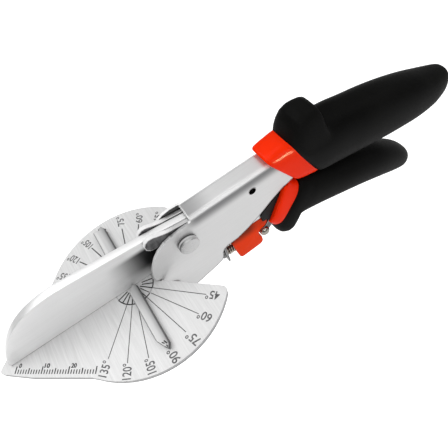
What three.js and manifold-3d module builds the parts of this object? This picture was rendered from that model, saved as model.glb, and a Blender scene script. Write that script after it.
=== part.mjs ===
// Multi-angle mitre shears: an anvil cutter with a protractor base plate.
// Millimetres, +Z up, +X towards the nose of the plate, +Y the near side.
// Dimensions are taken from the centre of the protractor, on the plate's top face;
// at the end the whole is moved so that the origin is the middle of its bounding box.
// The shears are closed at rest: the blade's edge lies just over the plate.
import * as THREE from "three";
import { mergeVertices } from "three/addons/utils/BufferGeometryUtils.js";
import Module from "manifold-3d";

const wasm = await Module();
wasm.setup();

// ---------------------------------------------------------------- shared dimensions
// Places are [x, z] for parts across the shears and [x, y] for parts square to the plate.
const CENTRE = [0, 0];
const TO_ORIGIN = [49.6, 0, 0.15];

const PLATE_T = 2.0;
const PLATE_SCREWS = [[24.0, 0], [40.0, 0]];
const DISC_R = 7.3;             // turntable that carries the fence

const BODY_HALF = 4.6;          // channel body, outside half width
const BODY_WALL = 1.1;
const BODY_GAP = 0.15;          // play of the parts held between the cheeks
const BETWEEN_HALF = BODY_HALF - BODY_WALL - BODY_GAP;
const JAW_RIVETS = [[-12.6, -8.4], [-15.0, -14.0]];
const JAW_RIVET_BORE_R = 1.55;

const PIVOT = [-24.3, 11.0];
const BOLT_R = 3.0;
const BUSH_R = 3.9;
const BUSH_BORE_R = BUSH_R + 0.08;

const LEVER_HALF = 3.25;        // lever channel, outside half width
const BLADE_RIVETS = [[-14.8, 9.2], [-31.0, 6.9]];
const BLADE_RIVET_R = 1.25;
const BLADE_RIVET_BORE_R = 1.3;

const SPRING_PIN = [-47.5, 0.8];
const SPRING_PIN_R = 1.4;
const LATCH_PIN = [-54.7, -14.1];
const LATCH_PIN_R = 1.5;
const LATCH_AXIS_Z = -16.4;     // axis of the latch spring
const PIN_GAP = 0.05;           // bore radius over pin radius
const HANDLE_GAP = 0.3;         // room between a handle's parts and what they enclose

// ---------------------------------------------------------------- materials
const standard = (options) => new THREE.MeshStandardMaterial(options);
const satinSteel = () => standard({ color: 0xc9cacb, roughness: 0.34, metalness: 0.95 });
const plateSteel = () => standard({ color: 0xe4e5e5, roughness: 0.42, metalness: 0.9 });
const springSteel = () => standard({ color: 0xb9b2a2, roughness: 0.3, metalness: 0.95 });
const darkSteel = () => standard({ color: 0x77797c, roughness: 0.45, metalness: 0.9 });
const bronze = () => standard({ color: 0xa5814a, roughness: 0.5, metalness: 0.9 });
const orange = () => standard({ color: 0xff3f05, roughness: 0.28, metalness: 0.0 });
const black = () => standard({ color: 0x141414, roughness: 0.72, metalness: 0.0 });

// ---------------------------------------------------------------- helpers
const { degToRad } = THREE.MathUtils;

function solid(geometry) {
  const bare = geometry.clone();
  for (const key of Object.keys(bare.attributes)) {
    if (key !== "position") bare.deleteAttribute(key);
  }
  const welded = mergeVertices(bare, 1e-4);
  const mesh = new wasm.Mesh({
    numProp: 3,
    vertProperties: new Float32Array(welded.attributes.position.array),
    triVerts: new Uint32Array(welded.index.array),
  });
  return new wasm.Manifold(mesh);
}

// a solid whose faces may have come out inside out: they are turned to face outwards
function outwardSolid(geometry) {
  const first = solid(geometry);
  if (first.volume() >= 0) return first;
  const index = geometry.index.array;
  for (let i = 0; i < index.length; i += 3) {
    [index[i], index[i + 1]] = [index[i + 1], index[i]];
  }
  return solid(geometry);
}

function toGeometry(manifold) {
  const mesh = manifold.getMesh();
  const geometry = new THREE.BufferGeometry();
  const positions = new Float32Array(mesh.vertProperties);
  geometry.setAttribute("position", new THREE.BufferAttribute(positions, 3));
  geometry.setIndex(new THREE.BufferAttribute(new Uint32Array(mesh.triVerts), 1));
  geometry.computeVertexNormals();
  return geometry;
}

const root = new THREE.Group();    // the fixed body and the fence
const lever = new THREE.Group();   // turns about the pivot
const latch = new THREE.Group();   // slides along the lever

function put(name, manifold, material, parent = root) {
  const mesh = new THREE.Mesh(toGeometry(manifold), material);
  mesh.name = name;
  parent.add(mesh);
}

function shapeOf(points) {
  const shape = new THREE.Shape();
  points.forEach(([a, b], i) => (i ? shape.lineTo(a, b) : shape.moveTo(a, b)));
  shape.closePath();
  return shape;
}

const extrude = (points, depth) =>
  new THREE.ExtrudeGeometry(shapeOf(points), { depth, bevelEnabled: false });

// [y, z] points, extruded from x0 to x1
function slabX(points, x0, x1) {
  const geometry = extrude(points, x1 - x0);
  geometry.applyMatrix4(new THREE.Matrix4().makeBasis(
    new THREE.Vector3(0, 1, 0), new THREE.Vector3(0, 0, 1), new THREE.Vector3(1, 0, 0)));
  geometry.translate(x0, 0, 0);
  return solid(geometry);
}

// [x, z] points, extruded from y0 to y1
function slabY(points, y0, y1) {
  const geometry = extrude(points, y1 - y0);
  geometry.rotateX(Math.PI / 2);
  geometry.translate(0, y1, 0);
  return solid(geometry);
}

// [x, y] points, extruded from z0 to z1
function slabZ(points, z0, z1) {
  const geometry = extrude(points, z1 - z0);
  geometry.translate(0, 0, z0);
  return solid(geometry);
}

// a slab in the X-Z plane, centred on Y
const centredSlab = (points, half) => slabY(points, -half, half);

// a closed outline from its +Y half
const mirrored = (half) => half.concat(half.slice().reverse().map(([x, y]) => [x, -y]));

function box(x0, x1, y0, y1, z0, z1) {
  const geometry = new THREE.BoxGeometry(x1 - x0, y1 - y0, z1 - z0);
  geometry.translate((x0 + x1) / 2, (y0 + y1) / 2, (z0 + z1) / 2);
  return solid(geometry);
}

function rodY(radius, y0, y1, [x, z], segments) {
  const geometry = new THREE.CylinderGeometry(radius, radius, y1 - y0, segments);
  geometry.translate(x, (y0 + y1) / 2, z);
  return solid(geometry);
}

function rodZ(radius, z0, z1, [x, y], segments) {
  const geometry = new THREE.CylinderGeometry(radius, radius, z1 - z0, segments);
  geometry.rotateX(Math.PI / 2);
  geometry.translate(x, y, (z0 + z1) / 2);
  return solid(geometry);
}

// bores along Y, right through the part at each [x, z] place
function drilled(part, radius, places, segments) {
  return places.reduce((rest, at) => rest.subtract(rodY(radius, -10, 10, at, segments)), part);
}

const lathe = (profile, segments) =>
  new THREE.LatheGeometry(profile.map(([r, h]) => new THREE.Vector2(r, h)), segments);

// a turned part about a Y axis; the profile is [radius, y] pairs
function turnY(profile, [x, z], segments) {
  const geometry = lathe(profile, segments);
  geometry.translate(x, 0, z);
  return outwardSolid(geometry);
}

// a turned part about a Z axis; the profile is [radius, z] pairs
function turnZ(profile, [x, y], segments) {
  const geometry = lathe(profile, segments);
  geometry.rotateX(Math.PI / 2);
  geometry.translate(x, y, 0);
  return outwardSolid(geometry);
}

// A rounded body through slanted superellipse rings. Each ring is
// [topX, topZ, bottomX, bottomZ, halfWidth, squareness]; squareness 2 is an ellipse.
function ringBody(rings, segments, grow = 0) {
  const spans = rings.length - 1;
  const geometry = new THREE.CylinderGeometry(1, 1, 1, segments, spans, false);
  const position = geometry.attributes.position;
  const bulge = (value, exponent) => Math.sign(value) * Math.pow(Math.abs(value), exponent);
  for (let i = 0; i < position.count; i++) {
    const ring = rings[Math.round((position.getY(i) + 0.5) * spans)];
    const [topX, topZ, bottomX, bottomZ, halfWidth, squareness] = ring;
    const halfHeight = Math.hypot(topX - bottomX, topZ - bottomZ) / 2;
    const upX = (topX - bottomX) / 2 / halfHeight;
    const upZ = (topZ - bottomZ) / 2 / halfHeight;
    const x = position.getX(i);
    const z = position.getZ(i);
    const r = Math.hypot(x, z);
    let across = 0;
    let up = 0;
    if (r > 1e-6) {
      across = bulge(x / r, 2 / squareness) * (halfWidth + grow);
      up = bulge(z / r, 2 / squareness) * (halfHeight + grow);
    }
    position.setXYZ(i, (topX + bottomX) / 2 + upX * up, across, (topZ + bottomZ) / 2 + upZ * up);
  }
  return outwardSolid(geometry);
}

// a round wire along a curve
function wire(points, radius, steps) {
  const section = new THREE.Shape();
  section.absarc(0, 0, radius, 0, Math.PI * 2, false);
  return solid(new THREE.ExtrudeGeometry(section, {
    steps,
    bevelEnabled: false,
    extrudePath: new THREE.CatmullRomCurve3(points, false, "centripetal"),
    curveSegments: 4,
  }));
}

// ================================================================ FRAME (fixed body)
// --- protractor plate: a pointed nose, two wings, a slot at the back for the cheeks
const WING_R = 34.5;
const WING_CENTRE_X = -1.1;     // centre of the wing arcs, behind the protractor centre
const NOSE_HALF_ANGLE = 35.4;   // nose edges to the centre line, degrees
const NOSE_OFFSET = 32.6;       // nose edge lines to the protractor centre
const NOSE_TIP_X = 53.4;
const NOSE_TIP_R = 1.6;
const DISC_GAP = 0.12;

function plateOutline() {
  const angle = degToRad(NOSE_HALF_ANGLE);
  const sin = Math.sin(angle);
  const cos = Math.cos(angle);
  const half = [];
  // rounded tip
  for (let k = 0; k <= 5; k++) {
    const a = (Math.PI / 2 - angle) * (k / 5);
    half.push([NOSE_TIP_X - NOSE_TIP_R + NOSE_TIP_R * Math.cos(a), NOSE_TIP_R * Math.sin(a)]);
  }
  // nose edge, measured towards the tip from the point nearest the centre
  for (const along of [31, 8.5]) {
    half.push([sin * NOSE_OFFSET + cos * along, cos * NOSE_OFFSET - sin * along]);
  }
  half.push([26.0, 21.65]);
  for (let degrees = 41.5; degrees <= 136.6; degrees += 5) {
    const a = degToRad(degrees);
    half.push([WING_CENTRE_X + WING_R * Math.cos(a), WING_R * Math.sin(a)]);
  }
  // rounded back corner of the wing, then the side and end of the slot
  half.push([-26.55, 22.9], [-26.9, 21.9], [-26.6, 20.9], [-25.9, 20.2]);
  half.push([-9.9, 4.95], [-9.0, 4.95]);
  return mirrored(half);
}

function addPlate() {
  let plate = slabZ(plateOutline(), -PLATE_T, 0);
  plate = plate.subtract(rodZ(DISC_R + DISC_GAP, -PLATE_T - 1, 1, CENTRE, 72));
  for (const at of PLATE_SCREWS) {
    plate = plate.subtract(rodZ(1.3, -PLATE_T - 1, -0.7, at, 24));
  }
  put("protractor_plate", plate, plateSteel());
}

// --- channel body: one folded sheet, a top and two cheeks that reach down past the plate
const BODY_FOLD_R = 2.0;        // outside radius of the folds along the top
const SMALL_HOLE = [-52.9, 15.1];
const SMALL_HOLE_R = 1.45;

// top line from front to back, [x, z]
const BODY_TOP = [[-28.6, 20.95], [-59.8, 21.96], [-75.0, 19.6], [-100.0, 14.6], [-136.0, 6.0]];

// side outline [x, z]: the top line, forward along the underside, up the front
const BODY_SIDE = [
  ...BODY_TOP,
  [-136.0, 0.0], [-100.0, 8.2], [-82.0, 10.6], [-72.0, 9.0], [-64.2, 6.0], [-59.9, 3.7],
  [-53.4, -0.6], [-47.5, -3.6], [-42.4, -5.5], [-37.9, -5.9], [-35.8, -6.8], [-34.8, -8.6],
  [-34.3, -11.2], [-33.5, -12.8], [-31.8, -13.8], [-21.0, -17.0], [-16.0, -17.8],
  [-12.5, -17.2], [-10.4, -15.2], [-9.6, -12.0], [-9.6, 0.12], [-8.6, 0.12], [-8.05, 1.2],
  [-7.9, 4.1], [-8.6, 7.2], [-9.9, 9.9], [-11.6, 12.7], [-14.0, 15.3], [-17.2, 17.4],
  [-20.2, 18.35], [-24.2, 19.0], [-27.6, 19.25], [-28.35, 19.6],
];

// raised front corner of the far cheek [x, z]
const FAR_CORNER = [
  [-29.2, 19.4], [-29.2, 20.6], [-27.6, 21.1], [-24.6, 21.2], [-21.6, 20.6], [-19.2, 19.3],
  [-17.4, 17.6], [-17.6, 16.4],
];

// hollow of the channel [x, z], open below
const BODY_HOLLOW = [
  [40, 18.75], [-28.6, 19.75], [-59.8, 20.76], [-75.0, 18.35], [-100.0, 13.35], [-140.0, 3.8],
  [-140.0, -40], [40, -40],
];

// a long prism with rounded top edges, its top face through two points of the top line
function foldedPrism([frontX, frontZ], [backX, backZ]) {
  const reach = 60;             // run past both ends, and depth below the top line
  const r = BODY_FOLD_R;
  const w = BODY_HALF;
  const section = new THREE.Shape();
  section.moveTo(-w, -reach);
  section.lineTo(w, -reach);
  section.lineTo(w, -r);
  section.absarc(w - r, -r, r, 0, Math.PI / 2, false);
  section.lineTo(-w + r, 0);
  section.absarc(-w + r, -r, r, Math.PI / 2, Math.PI, false);
  section.closePath();

  const length = Math.hypot(frontX - backX, frontZ - backZ);
  const dx = (frontX - backX) / length;
  const dz = (frontZ - backZ) / length;
  const geometry = new THREE.ExtrudeGeometry(section, {
    depth: length + 2 * reach,
    bevelEnabled: false,
    curveSegments: 4,
  });
  geometry.applyMatrix4(new THREE.Matrix4().makeBasis(
    new THREE.Vector3(0, 1, 0), new THREE.Vector3(-dz, 0, dx), new THREE.Vector3(dx, 0, dz)));
  geometry.translate(backX - dx * reach, 0, backZ - dz * reach);
  return solid(geometry);
}

function addBody() {
  const outer = centredSlab(BODY_SIDE, BODY_HALF);
  // each stretch of the top line is clipped with its own prism
  const lastStretch = BODY_TOP.length - 2;
  const stretches = BODY_TOP.slice(1).map((back, i) => {
    const front = BODY_TOP[i];
    const x0 = i === lastStretch ? -140 : back[0];
    const x1 = i === 0 ? 20 : front[0];
    return outer.intersect(box(x0, x1, -20, 20, -60, 60)).intersect(foldedPrism(front, back));
  });
  let body = stretches.reduce((sum, stretch) => sum.add(stretch));
  body = body.add(slabY(FAR_CORNER, -BODY_HALF, -BODY_HALF + BODY_WALL));
  body = body.subtract(centredSlab(BODY_HOLLOW, BODY_HALF - BODY_WALL));
  body = drilled(body, BOLT_R + PIN_GAP, [PIVOT], 40);
  body = drilled(body, SMALL_HOLE_R, [SMALL_HOLE], 28);
  body = drilled(body, JAW_RIVET_BORE_R, JAW_RIVETS, 24);
  put("body_channel", body, satinSteel());
}

// --- jaw bar under the plate: held between the cheeks, carries the plate and the turntable
const JAW_T = 7.0;
const JAW_TOP_Z = -PLATE_T - 0.05;
const JAW_SIDE = [              // [x, z]
  [-17.2, JAW_TOP_Z], [46.0, JAW_TOP_Z], [47.0, -3.2], [44.0, -4.6],
  [20.0, -PLATE_T - JAW_T + 0.6], [2.0, -PLATE_T - JAW_T - 0.6],
  [-6.0, -13.0], [-10.5, -16.6], [-17.2, -16.6], [-18.4, -14.6], [-18.4, -4.0],
];
// +Y half of the wider part in front of the cheeks, [x, y]
const JAW_FLANGE = [[46.0, 0], [45.2, 3.0], [30.0, 5.6], [6.0, 7.2], [-8.2, 6.6], [-9.2, 5.2]];
const PLATE_SCREW_PROFILE = [
  [0, -6.0], [2.0, -6.0], [2.4, -5.6], [2.4, -4.2], [1.2, -4.2], [1.2, -0.75], [0, -0.75],
];
const JAW_RIVET_PROFILE = [
  [0, -5.8], [1.6, -5.6], [2.4, -5.0], [2.5, -4.62], [1.5, -4.62],
  [1.5, 4.62], [2.5, 4.62], [2.4, 5.0], [1.6, 5.6], [0, 5.8],
];

function addJaw() {
  let jaw = centredSlab(JAW_SIDE, BETWEEN_HALF);
  jaw = jaw.add(slabZ(mirrored(JAW_FLANGE), -4.6, JAW_TOP_Z));
  // stepped bore for the turntable's stem and washer
  jaw = jaw.subtract(rodZ(2.6, -20, 0, CENTRE, 36));
  jaw = jaw.subtract(rodZ(4.6, -20, -7.6, CENTRE, 36));
  for (const at of PLATE_SCREWS) {
    jaw = jaw.subtract(rodZ(1.35, -20, 0, at, 24));
    jaw = jaw.subtract(rodZ(2.55, -20, -4.2, at, 28));
  }
  jaw = drilled(jaw, JAW_RIVET_BORE_R, JAW_RIVETS, 24);
  put("jaw_bar", jaw, darkSteel());

  ["plate_screw_rear", "plate_screw_front"].forEach((name, i) => {
    const at = PLATE_SCREWS[i];
    const socket = rodZ(1.0, -7, -5.0, at, 6);
    put(name, turnZ(PLATE_SCREW_PROFILE, at, 28).subtract(socket), darkSteel());
  });
  ["jaw_rivet_upper", "jaw_rivet_lower"].forEach((name, i) => {
    put(name, turnY(JAW_RIVET_PROFILE, JAW_RIVETS[i], 28), satinSteel());
  });
}

// --- pivot: a bolt with its flat round head on the near side, a bush between the cheeks,
// a slotted round nut on the far side
const BOLT_HEAD_R = 3.8;
const BOLT_HEAD_T = 1.9;
const BOLT_SHANK_R = BOLT_R - 0.02;
const THREAD_R = 2.0;
const NUT_BORE_R = 2.05;
const BUSH_INNER_R = BOLT_R + 0.03;

function addPivot() {
  const face = BODY_HALF;
  const headTop = face + BOLT_HEAD_T;
  put("pivot_bolt", turnY([
    [0, -face - 1.2], [THREAD_R, -face - 1.2], [THREAD_R, -face - 0.02],
    [BOLT_SHANK_R, -face], [BOLT_SHANK_R, face + 0.02], [BOLT_HEAD_R, face + 0.02],
    [BOLT_HEAD_R, headTop - 0.5], [BOLT_HEAD_R - 0.15, headTop - 0.15],
    [BOLT_HEAD_R - 0.55, headTop], [0, headTop],
  ], PIVOT, 30), satinSteel());

  const nut = turnY([
    [NUT_BORE_R, -face - 0.05], [BOLT_HEAD_R, -face - 0.05], [BOLT_HEAD_R, -face - 1.4],
    [BOLT_HEAD_R - 0.5, -face - 1.9], [NUT_BORE_R, -face - 1.9], [NUT_BORE_R, -face - 0.05],
  ], PIVOT, 30);
  const [x, z] = PIVOT;
  const slot = (z0, z1) => box(x - 0.5, x + 0.5, -12, -face - 1.3, z0, z1);
  const slotted = nut.subtract(slot(z - 6, z - 2.3)).subtract(slot(z + 2.3, z + 6));
  put("pivot_nut", slotted, satinSteel());

  put("pivot_bush", turnY([
    [BUSH_INNER_R, -BETWEEN_HALF], [BUSH_R, -BETWEEN_HALF], [BUSH_R, BETWEEN_HALF],
    [BUSH_INNER_R, BETWEEN_HALF], [BUSH_INNER_R, -BETWEEN_HALF],
  ], PIVOT, 30), bronze());
}

// --- handles: a hard sleeve, whose front shows as a slanted band, and a soft grip over it
const SHELL_SEGMENTS = 26;
const CORE_SEGMENTS = 18;

// Room in the grip for the band: its rings after the first, moved back and let out,
// behind a first ring far enough forward to open the grip's front.
function bandRoom(band, firstRing, back, out) {
  const rest = band.slice(1).map(([topX, topZ, bottomX, bottomZ, halfWidth, squareness]) => [
    topX - back, topZ + out, bottomX - back, bottomZ - out, halfWidth + out, squareness,
  ]);
  return ringBody([firstRing, ...rest], SHELL_SEGMENTS);
}

function addHandle({ prefix, band, core, grip, pockets, room, parent }) {
  const blank = ringBody(band, SHELL_SEGMENTS).add(ringBody(core, CORE_SEGMENTS));
  const sleeve = pockets.reduce((rest, pocket) => rest.subtract(pocket), blank);
  put(`${prefix}_sleeve`, sleeve, orange(), parent);
  const shell = ringBody(grip, SHELL_SEGMENTS)
    .subtract(ringBody(core, CORE_SEGMENTS, HANDLE_GAP))
    .subtract(room);
  put(`${prefix}_grip`, shell, black(), parent);
}

// --- upper handle, on the tail of the channel body; tables of rings, front to back
const UPPER_BAND = [
  [-60.2, 24.3, -71.6, 6.9, 5.9, 5.0],
  [-61.2, 25.0, -72.8, 5.9, 6.5, 4.6],
  [-65.0, 25.9, -77.0, 4.6, 7.0, 4.0],
  [-69.6, 26.6, -81.2, 3.9, 7.4, 3.6],
  [-71.4, 26.4, -83.0, 4.1, 7.3, 3.5],
];
const UPPER_CORE = [
  [-69.0, 24.2, -80.0, 6.2, 6.1, 3.6],
  [-76.0, 22.6, -86.0, 4.4, 6.4, 3.2],
  [-88.0, 20.4, -94.0, 3.0, 6.6, 3.0],
  [-104.0, 17.6, -107.0, 1.0, 6.6, 3.0],
  [-122.0, 13.4, -124.0, -1.2, 6.4, 3.0],
  [-138.0, 8.4, -139.0, -2.4, 5.6, 2.8],
  [-140.5, 6.0, -141.0, -0.6, 3.6, 2.4],
];
const UPPER_GRIP = [
  [-70.0, 26.6, -81.6, 4.0, 7.6, 3.3],
  [-70.4, 28.8, -82.2, 3.6, 8.4, 3.0],
  [-72.0, 31.8, -83.6, 3.0, 8.9, 2.8],
  [-75.6, 33.9, -85.6, 2.4, 9.1, 2.6],
  [-80.6, 34.5, -87.6, 1.8, 9.2, 2.5],
  [-83.8, 34.2, -89.0, 1.4, 9.2, 2.4],
  [-85.2, 32.4, -90.0, 1.1, 9.2, 2.4],
  [-86.4, 29.2, -91.2, 0.8, 9.2, 2.4],
  [-88.6, 27.3, -92.8, 0.4, 9.2, 2.4],
  [-93.0, 26.2, -95.6, 0.0, 9.2, 2.4],
  [-100.0, 24.8, -101.0, -1.0, 9.4, 2.3],
  [-110.0, 22.8, -111.0, -2.5, 9.5, 2.3],
  [-120.0, 20.2, -121.0, -3.6, 9.4, 2.3],
  [-130.0, 17.0, -131.0, -4.3, 9.0, 2.3],
  [-139.0, 13.8, -139.6, -4.2, 8.0, 2.3],
  [-145.4, 11.7, -145.4, -3.2, 6.6, 2.3],
  [-149.4, 10.3, -149.2, -1.6, 5.0, 2.3],
  [-151.6, 9.2, -151.6, 0.6, 3.6, 2.2],
  [-152.6, 8.2, -152.6, 2.2, 2.2, 2.1],
];

function addUpperHandle() {
  const gap = HANDLE_GAP;
  const tangRoom = [            // [x, z]
    [-50, 22.4 + gap], [-61.0, 22.0 + gap], [-75.0, 19.6 + gap], [-100.0, 14.6 + gap],
    [-136.0 - gap, 6.0 + gap], [-136.0 - gap, -gap], [-100.0, 8.2 - gap],
    [-82.0, 10.6 - gap], [-72.0, 9.0 - gap], [-64.0, 5.6 - gap], [-50, -gap],
  ];
  addHandle({
    prefix: "upper",
    band: UPPER_BAND,
    core: UPPER_CORE,
    grip: UPPER_GRIP,
    pockets: [centredSlab(tangRoom, BODY_HALF + gap)],
    room: bandRoom(UPPER_BAND, [-55.0, 24.3, -66.6, 3.9, 8.5, 5.0], 0.2, 0.3),
    parent: root,
  });
}

// ================================================================ FENCE
// It would turn about Z at the protractor centre.
const FENCE_BACK_X = -1.3;      // the side of both arms that faces the handles
const FENCE_TOP_Z = 2.3;
const FENCE_LIFT = 0.2;         // arm underside over the plate
const FENCE_POINT_Y = 0.85;     // the arms' inner points, from the centre line
const FENCE_PIN_X = 0.6;
const FENCE_PIN_Y = 5.2;        // to either side of the centre
const FENCE_PIN_BORE_R = 0.85;
const EASE = { inset: 0.45, outset: 0.2, over: 0.01, depth: 0.65 };   // wedge cut off top edges

// side is +1 near, -1 far; tipInset is how far before the end the front side stops
function fenceArm({ side, reach, tipInset, frontX }) {
  // pointed at the centre, so that it passes the blade at 45 degrees either way
  const outline = [
    [0, FENCE_POINT_Y], [frontX, frontX + FENCE_POINT_Y], [frontX, reach - tipInset],
    [0.9, reach - 1.5], [-0.15, reach], [FENCE_BACK_X, reach - 2.0],
    [FENCE_BACK_X, -FENCE_BACK_X + FENCE_POINT_Y],
  ].map(([x, y]) => [x, side * y]);
  const foot = slabZ(outline, 0, FENCE_LIFT + 0.1)
    .intersect(rodZ(DISC_R - 0.4, -1, FENCE_TOP_Z, CENTRE, 48));
  let arm = slabZ(outline, FENCE_LIFT, FENCE_TOP_Z).add(foot);
  for (const [x, outward] of [[frontX, 1], [FENCE_BACK_X, -1]]) {
    const outerX = x + outward * EASE.outset;
    arm = arm.subtract(centredSlab([
      [x - outward * EASE.inset, FENCE_TOP_Z + EASE.over],
      [outerX, FENCE_TOP_Z + EASE.over],
      [outerX, FENCE_TOP_Z - EASE.depth],
    ], 40));
  }
  return arm.subtract(rodZ(FENCE_PIN_BORE_R, -1, 1.5, [FENCE_PIN_X, side * FENCE_PIN_Y], 20));
}

function addFence() {
  // disc with a stem, bored from below for the screw
  let disc = rodZ(DISC_R, -PLATE_T, -0.02, CENTRE, 72)
    .add(rodZ(2.5, -7.5, -PLATE_T + 0.2, CENTRE, 36))
    .subtract(rodZ(1.25, -9, -1.0, CENTRE, 24));
  for (const side of [1, -1]) {
    disc = disc.subtract(rodZ(FENCE_PIN_BORE_R, -4, 1, [FENCE_PIN_X, side * FENCE_PIN_Y], 20));
  }
  put("turntable", disc, plateSteel());

  const near = fenceArm({ side: 1, reach: 29.2, tipInset: 5.2, frontX: 2.5 });
  const far = fenceArm({ side: -1, reach: 31.2, tipInset: 1.0, frontX: 3.6 });
  put("fence_arm_near", near, plateSteel());
  put("fence_arm_far", far, plateSteel());
  for (const [name, side] of [["fence_pin_near", 1], ["fence_pin_far", -1]]) {
    const pin = rodZ(0.8, -PLATE_T + 0.1, 1.4, [FENCE_PIN_X, side * FENCE_PIN_Y], 20);
    put(name, pin, darkSteel());
  }

  put("turntable_washer", turnZ([
    [1.35, -8.3], [4.0, -8.3], [4.0, -7.7], [1.35, -7.7], [1.35, -8.3],
  ], CENTRE, 36), springSteel());
  const screw = turnZ([
    [0, -10.4], [2.2, -10.4], [2.7, -9.9], [2.7, -8.35], [1.2, -8.35], [1.2, -1.1], [0, -1.1],
  ], CENTRE, 28);
  put("turntable_screw", screw.subtract(rodZ(1.1, -12, -9.3, CENTRE, 6)), darkSteel());
}

// ================================================================ LEVER
// It would turn about the pivot, and carries the blade and the lower handle.
// --- blade
const BLADE_HALF = 1.68;        // half thickness at the spine and in the tang
const BLADE_EDGE_HALF = 0.12;   // half thickness at the cutting edge
const BLADE_LIFT = 0.06;        // cutting edge over the plate
const GRIND_TOP_Z = 21.4;
const GRIND_BACK_X = -9.2;
const BLADE_SIDE = [            // [x, z], from the tip over the spine to the tang and back
  [49.3, BLADE_LIFT], [49.6, 0.9], [48.6, 3.6], [47.0, 6.8], [44.7, 10.3], [42.1, 13.6],
  [39.4, 16.4], [36.4, 18.8], [32.6, 20.9], [29.4, 22.1], [25.6, 23.0], [20.4, 23.5],
  [13.6, 23.1], [6.6, 22.5], [-0.5, 21.85], [-7.8, 21.15], [-14.0, 20.55], [-21.0, 19.75],
  [-29.5, 18.6], [-32.6, 16.4], [-33.6, 12.0], [-33.0, 6.4], [-30.4, 3.2], [-26.0, 1.2],
  [-20.0, 0.6], [-14.4, 1.9], [-10.2, 1.6], [-8.8, 0.5], [-8.4, BLADE_LIFT],
];

function addBlade() {
  let blade = centredSlab(BLADE_SIDE, BLADE_HALF);
  // one flat grind on each side, widening from the edge up to the spine
  for (const side of [1, -1]) {
    const waste = [
      [BLADE_EDGE_HALF, -1], [BLADE_EDGE_HALF, BLADE_LIFT], [BLADE_HALF, GRIND_TOP_Z],
      [4, GRIND_TOP_Z], [4, -1],
    ].map(([y, z]) => [side * y, z]);
    blade = blade.subtract(slabX(waste, GRIND_BACK_X, 60));
  }
  blade = drilled(blade, BUSH_BORE_R, [PIVOT], 40);
  blade = drilled(blade, BLADE_RIVET_BORE_R, BLADE_RIVETS, 24);
  put("blade", blade, satinSteel(), lever);
}

// --- lever channel: two sides with a web along the bottom, outlines in [x, z]
const LEVER_WALL = 1.5;
const LEVER_SIDE = [
  [-31.5, 18.7], [-26.5, 19.25], [-20.4, 19.95], [-17.6, 20.8], [-15.2, 21.8], [-13.4, 22.0],
  [-11.9, 21.2], [-11.0, 19.6], [-11.1, 17.9], [-12.2, 16.5], [-14.0, 16.0], [-16.4, 16.4],
  [-17.9, 15.2], [-17.4, 11.6], [-16.8, 8.0], [-16.6, 6.4], [-18.6, 3.0], [-22.0, 0.6],
  [-26.6, -1.0], [-30.0, -4.2], [-32.6, -8.6], [-36.2, -8.4], [-38.2, -8.2], [-38.9, -4.7],
  [-57.3, -4.7], [-57.6, -9.2], [-56.5, -10.9], [-55.6, -11.8], [-54.7, -12.0],
  [-53.5, -12.4], [-52.85, -13.2], [-52.6, -14.1], [-52.85, -15.1], [-53.5, -15.9],
  [-54.7, -16.3], [-56.6, -15.2], [-60.0, -12.2], [-74.0, -13.4], [-104.0, -20.8],
  [-119.0, -25.6], [-119.0, -20.6], [-104.0, -13.0], [-78.0, -4.4], [-66.6, 2.6],
  [-60.0, 1.4], [-54.6, -2.2], [-51.8, 2.2], [-49.6, 4.2], [-46.8, 4.4], [-44.2, 2.6],
  [-41.4, 1.6], [-38.5, 9.0], [-35.5, 16.2],
];
const LEVER_HOLLOW = [
  [10, 40], [10, -4.0], [-30.0, -6.0], [-37.0, -7.0], [-37.7, -3.5], [-58.5, -3.5],
  [-58.9, -9.6], [-59.8, -10.8], [-74.0, -12.0], [-104.0, -19.4], [-130.0, -28.0], [-130.0, 40],
];
// turned-down lip that the latch spring stands against
const LEVER_LIP = [[-36.2, -20.4], [-36.2, -7.4], [-37.0, -7.4], [-37.0, -20.4]];

function addLeverChannel() {
  let channel = centredSlab(LEVER_SIDE, LEVER_HALF)
    .subtract(centredSlab(LEVER_HOLLOW, LEVER_HALF - LEVER_WALL))
    .add(centredSlab(LEVER_LIP, 2.7));
  channel = drilled(channel, BUSH_BORE_R, [PIVOT], 36);
  channel = drilled(channel, BLADE_RIVET_BORE_R, BLADE_RIVETS, 24);
  channel = drilled(channel, LATCH_PIN_R + PIN_GAP, [LATCH_PIN], 24);
  channel = drilled(channel, SPRING_PIN_R + PIN_GAP, [SPRING_PIN], 24);
  put("lever_channel", channel, satinSteel(), lever);
  ["blade_rivet_front", "blade_rivet_rear"].forEach((name, i) => {
    const rivet = rodY(BLADE_RIVET_R, -LEVER_HALF, LEVER_HALF, BLADE_RIVETS[i], 24);
    put(name, rivet, darkSteel(), lever);
  });
}

// --- main spring: a torsion spring on a cross pin, one leg under the channel's top,
// one along the lever
const MAIN_SPRING = {
  coilR: 2.35,
  wireR: 0.42,
  halfY: 1.25,                  // the coil runs from -halfY to halfY
  fromDegrees: 150,
  toDegrees: 90 + 3 * 360,
  coilSteps: 44,
  upperLeg: [17, 12, 7, 3],     // distances from the coil, end first
  lowerLeg: [[-50.6, 3.3], [-55.0, 3.7], [-60.0, 4.5], [-64.2, 5.6]],   // [x, z]
};

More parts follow.
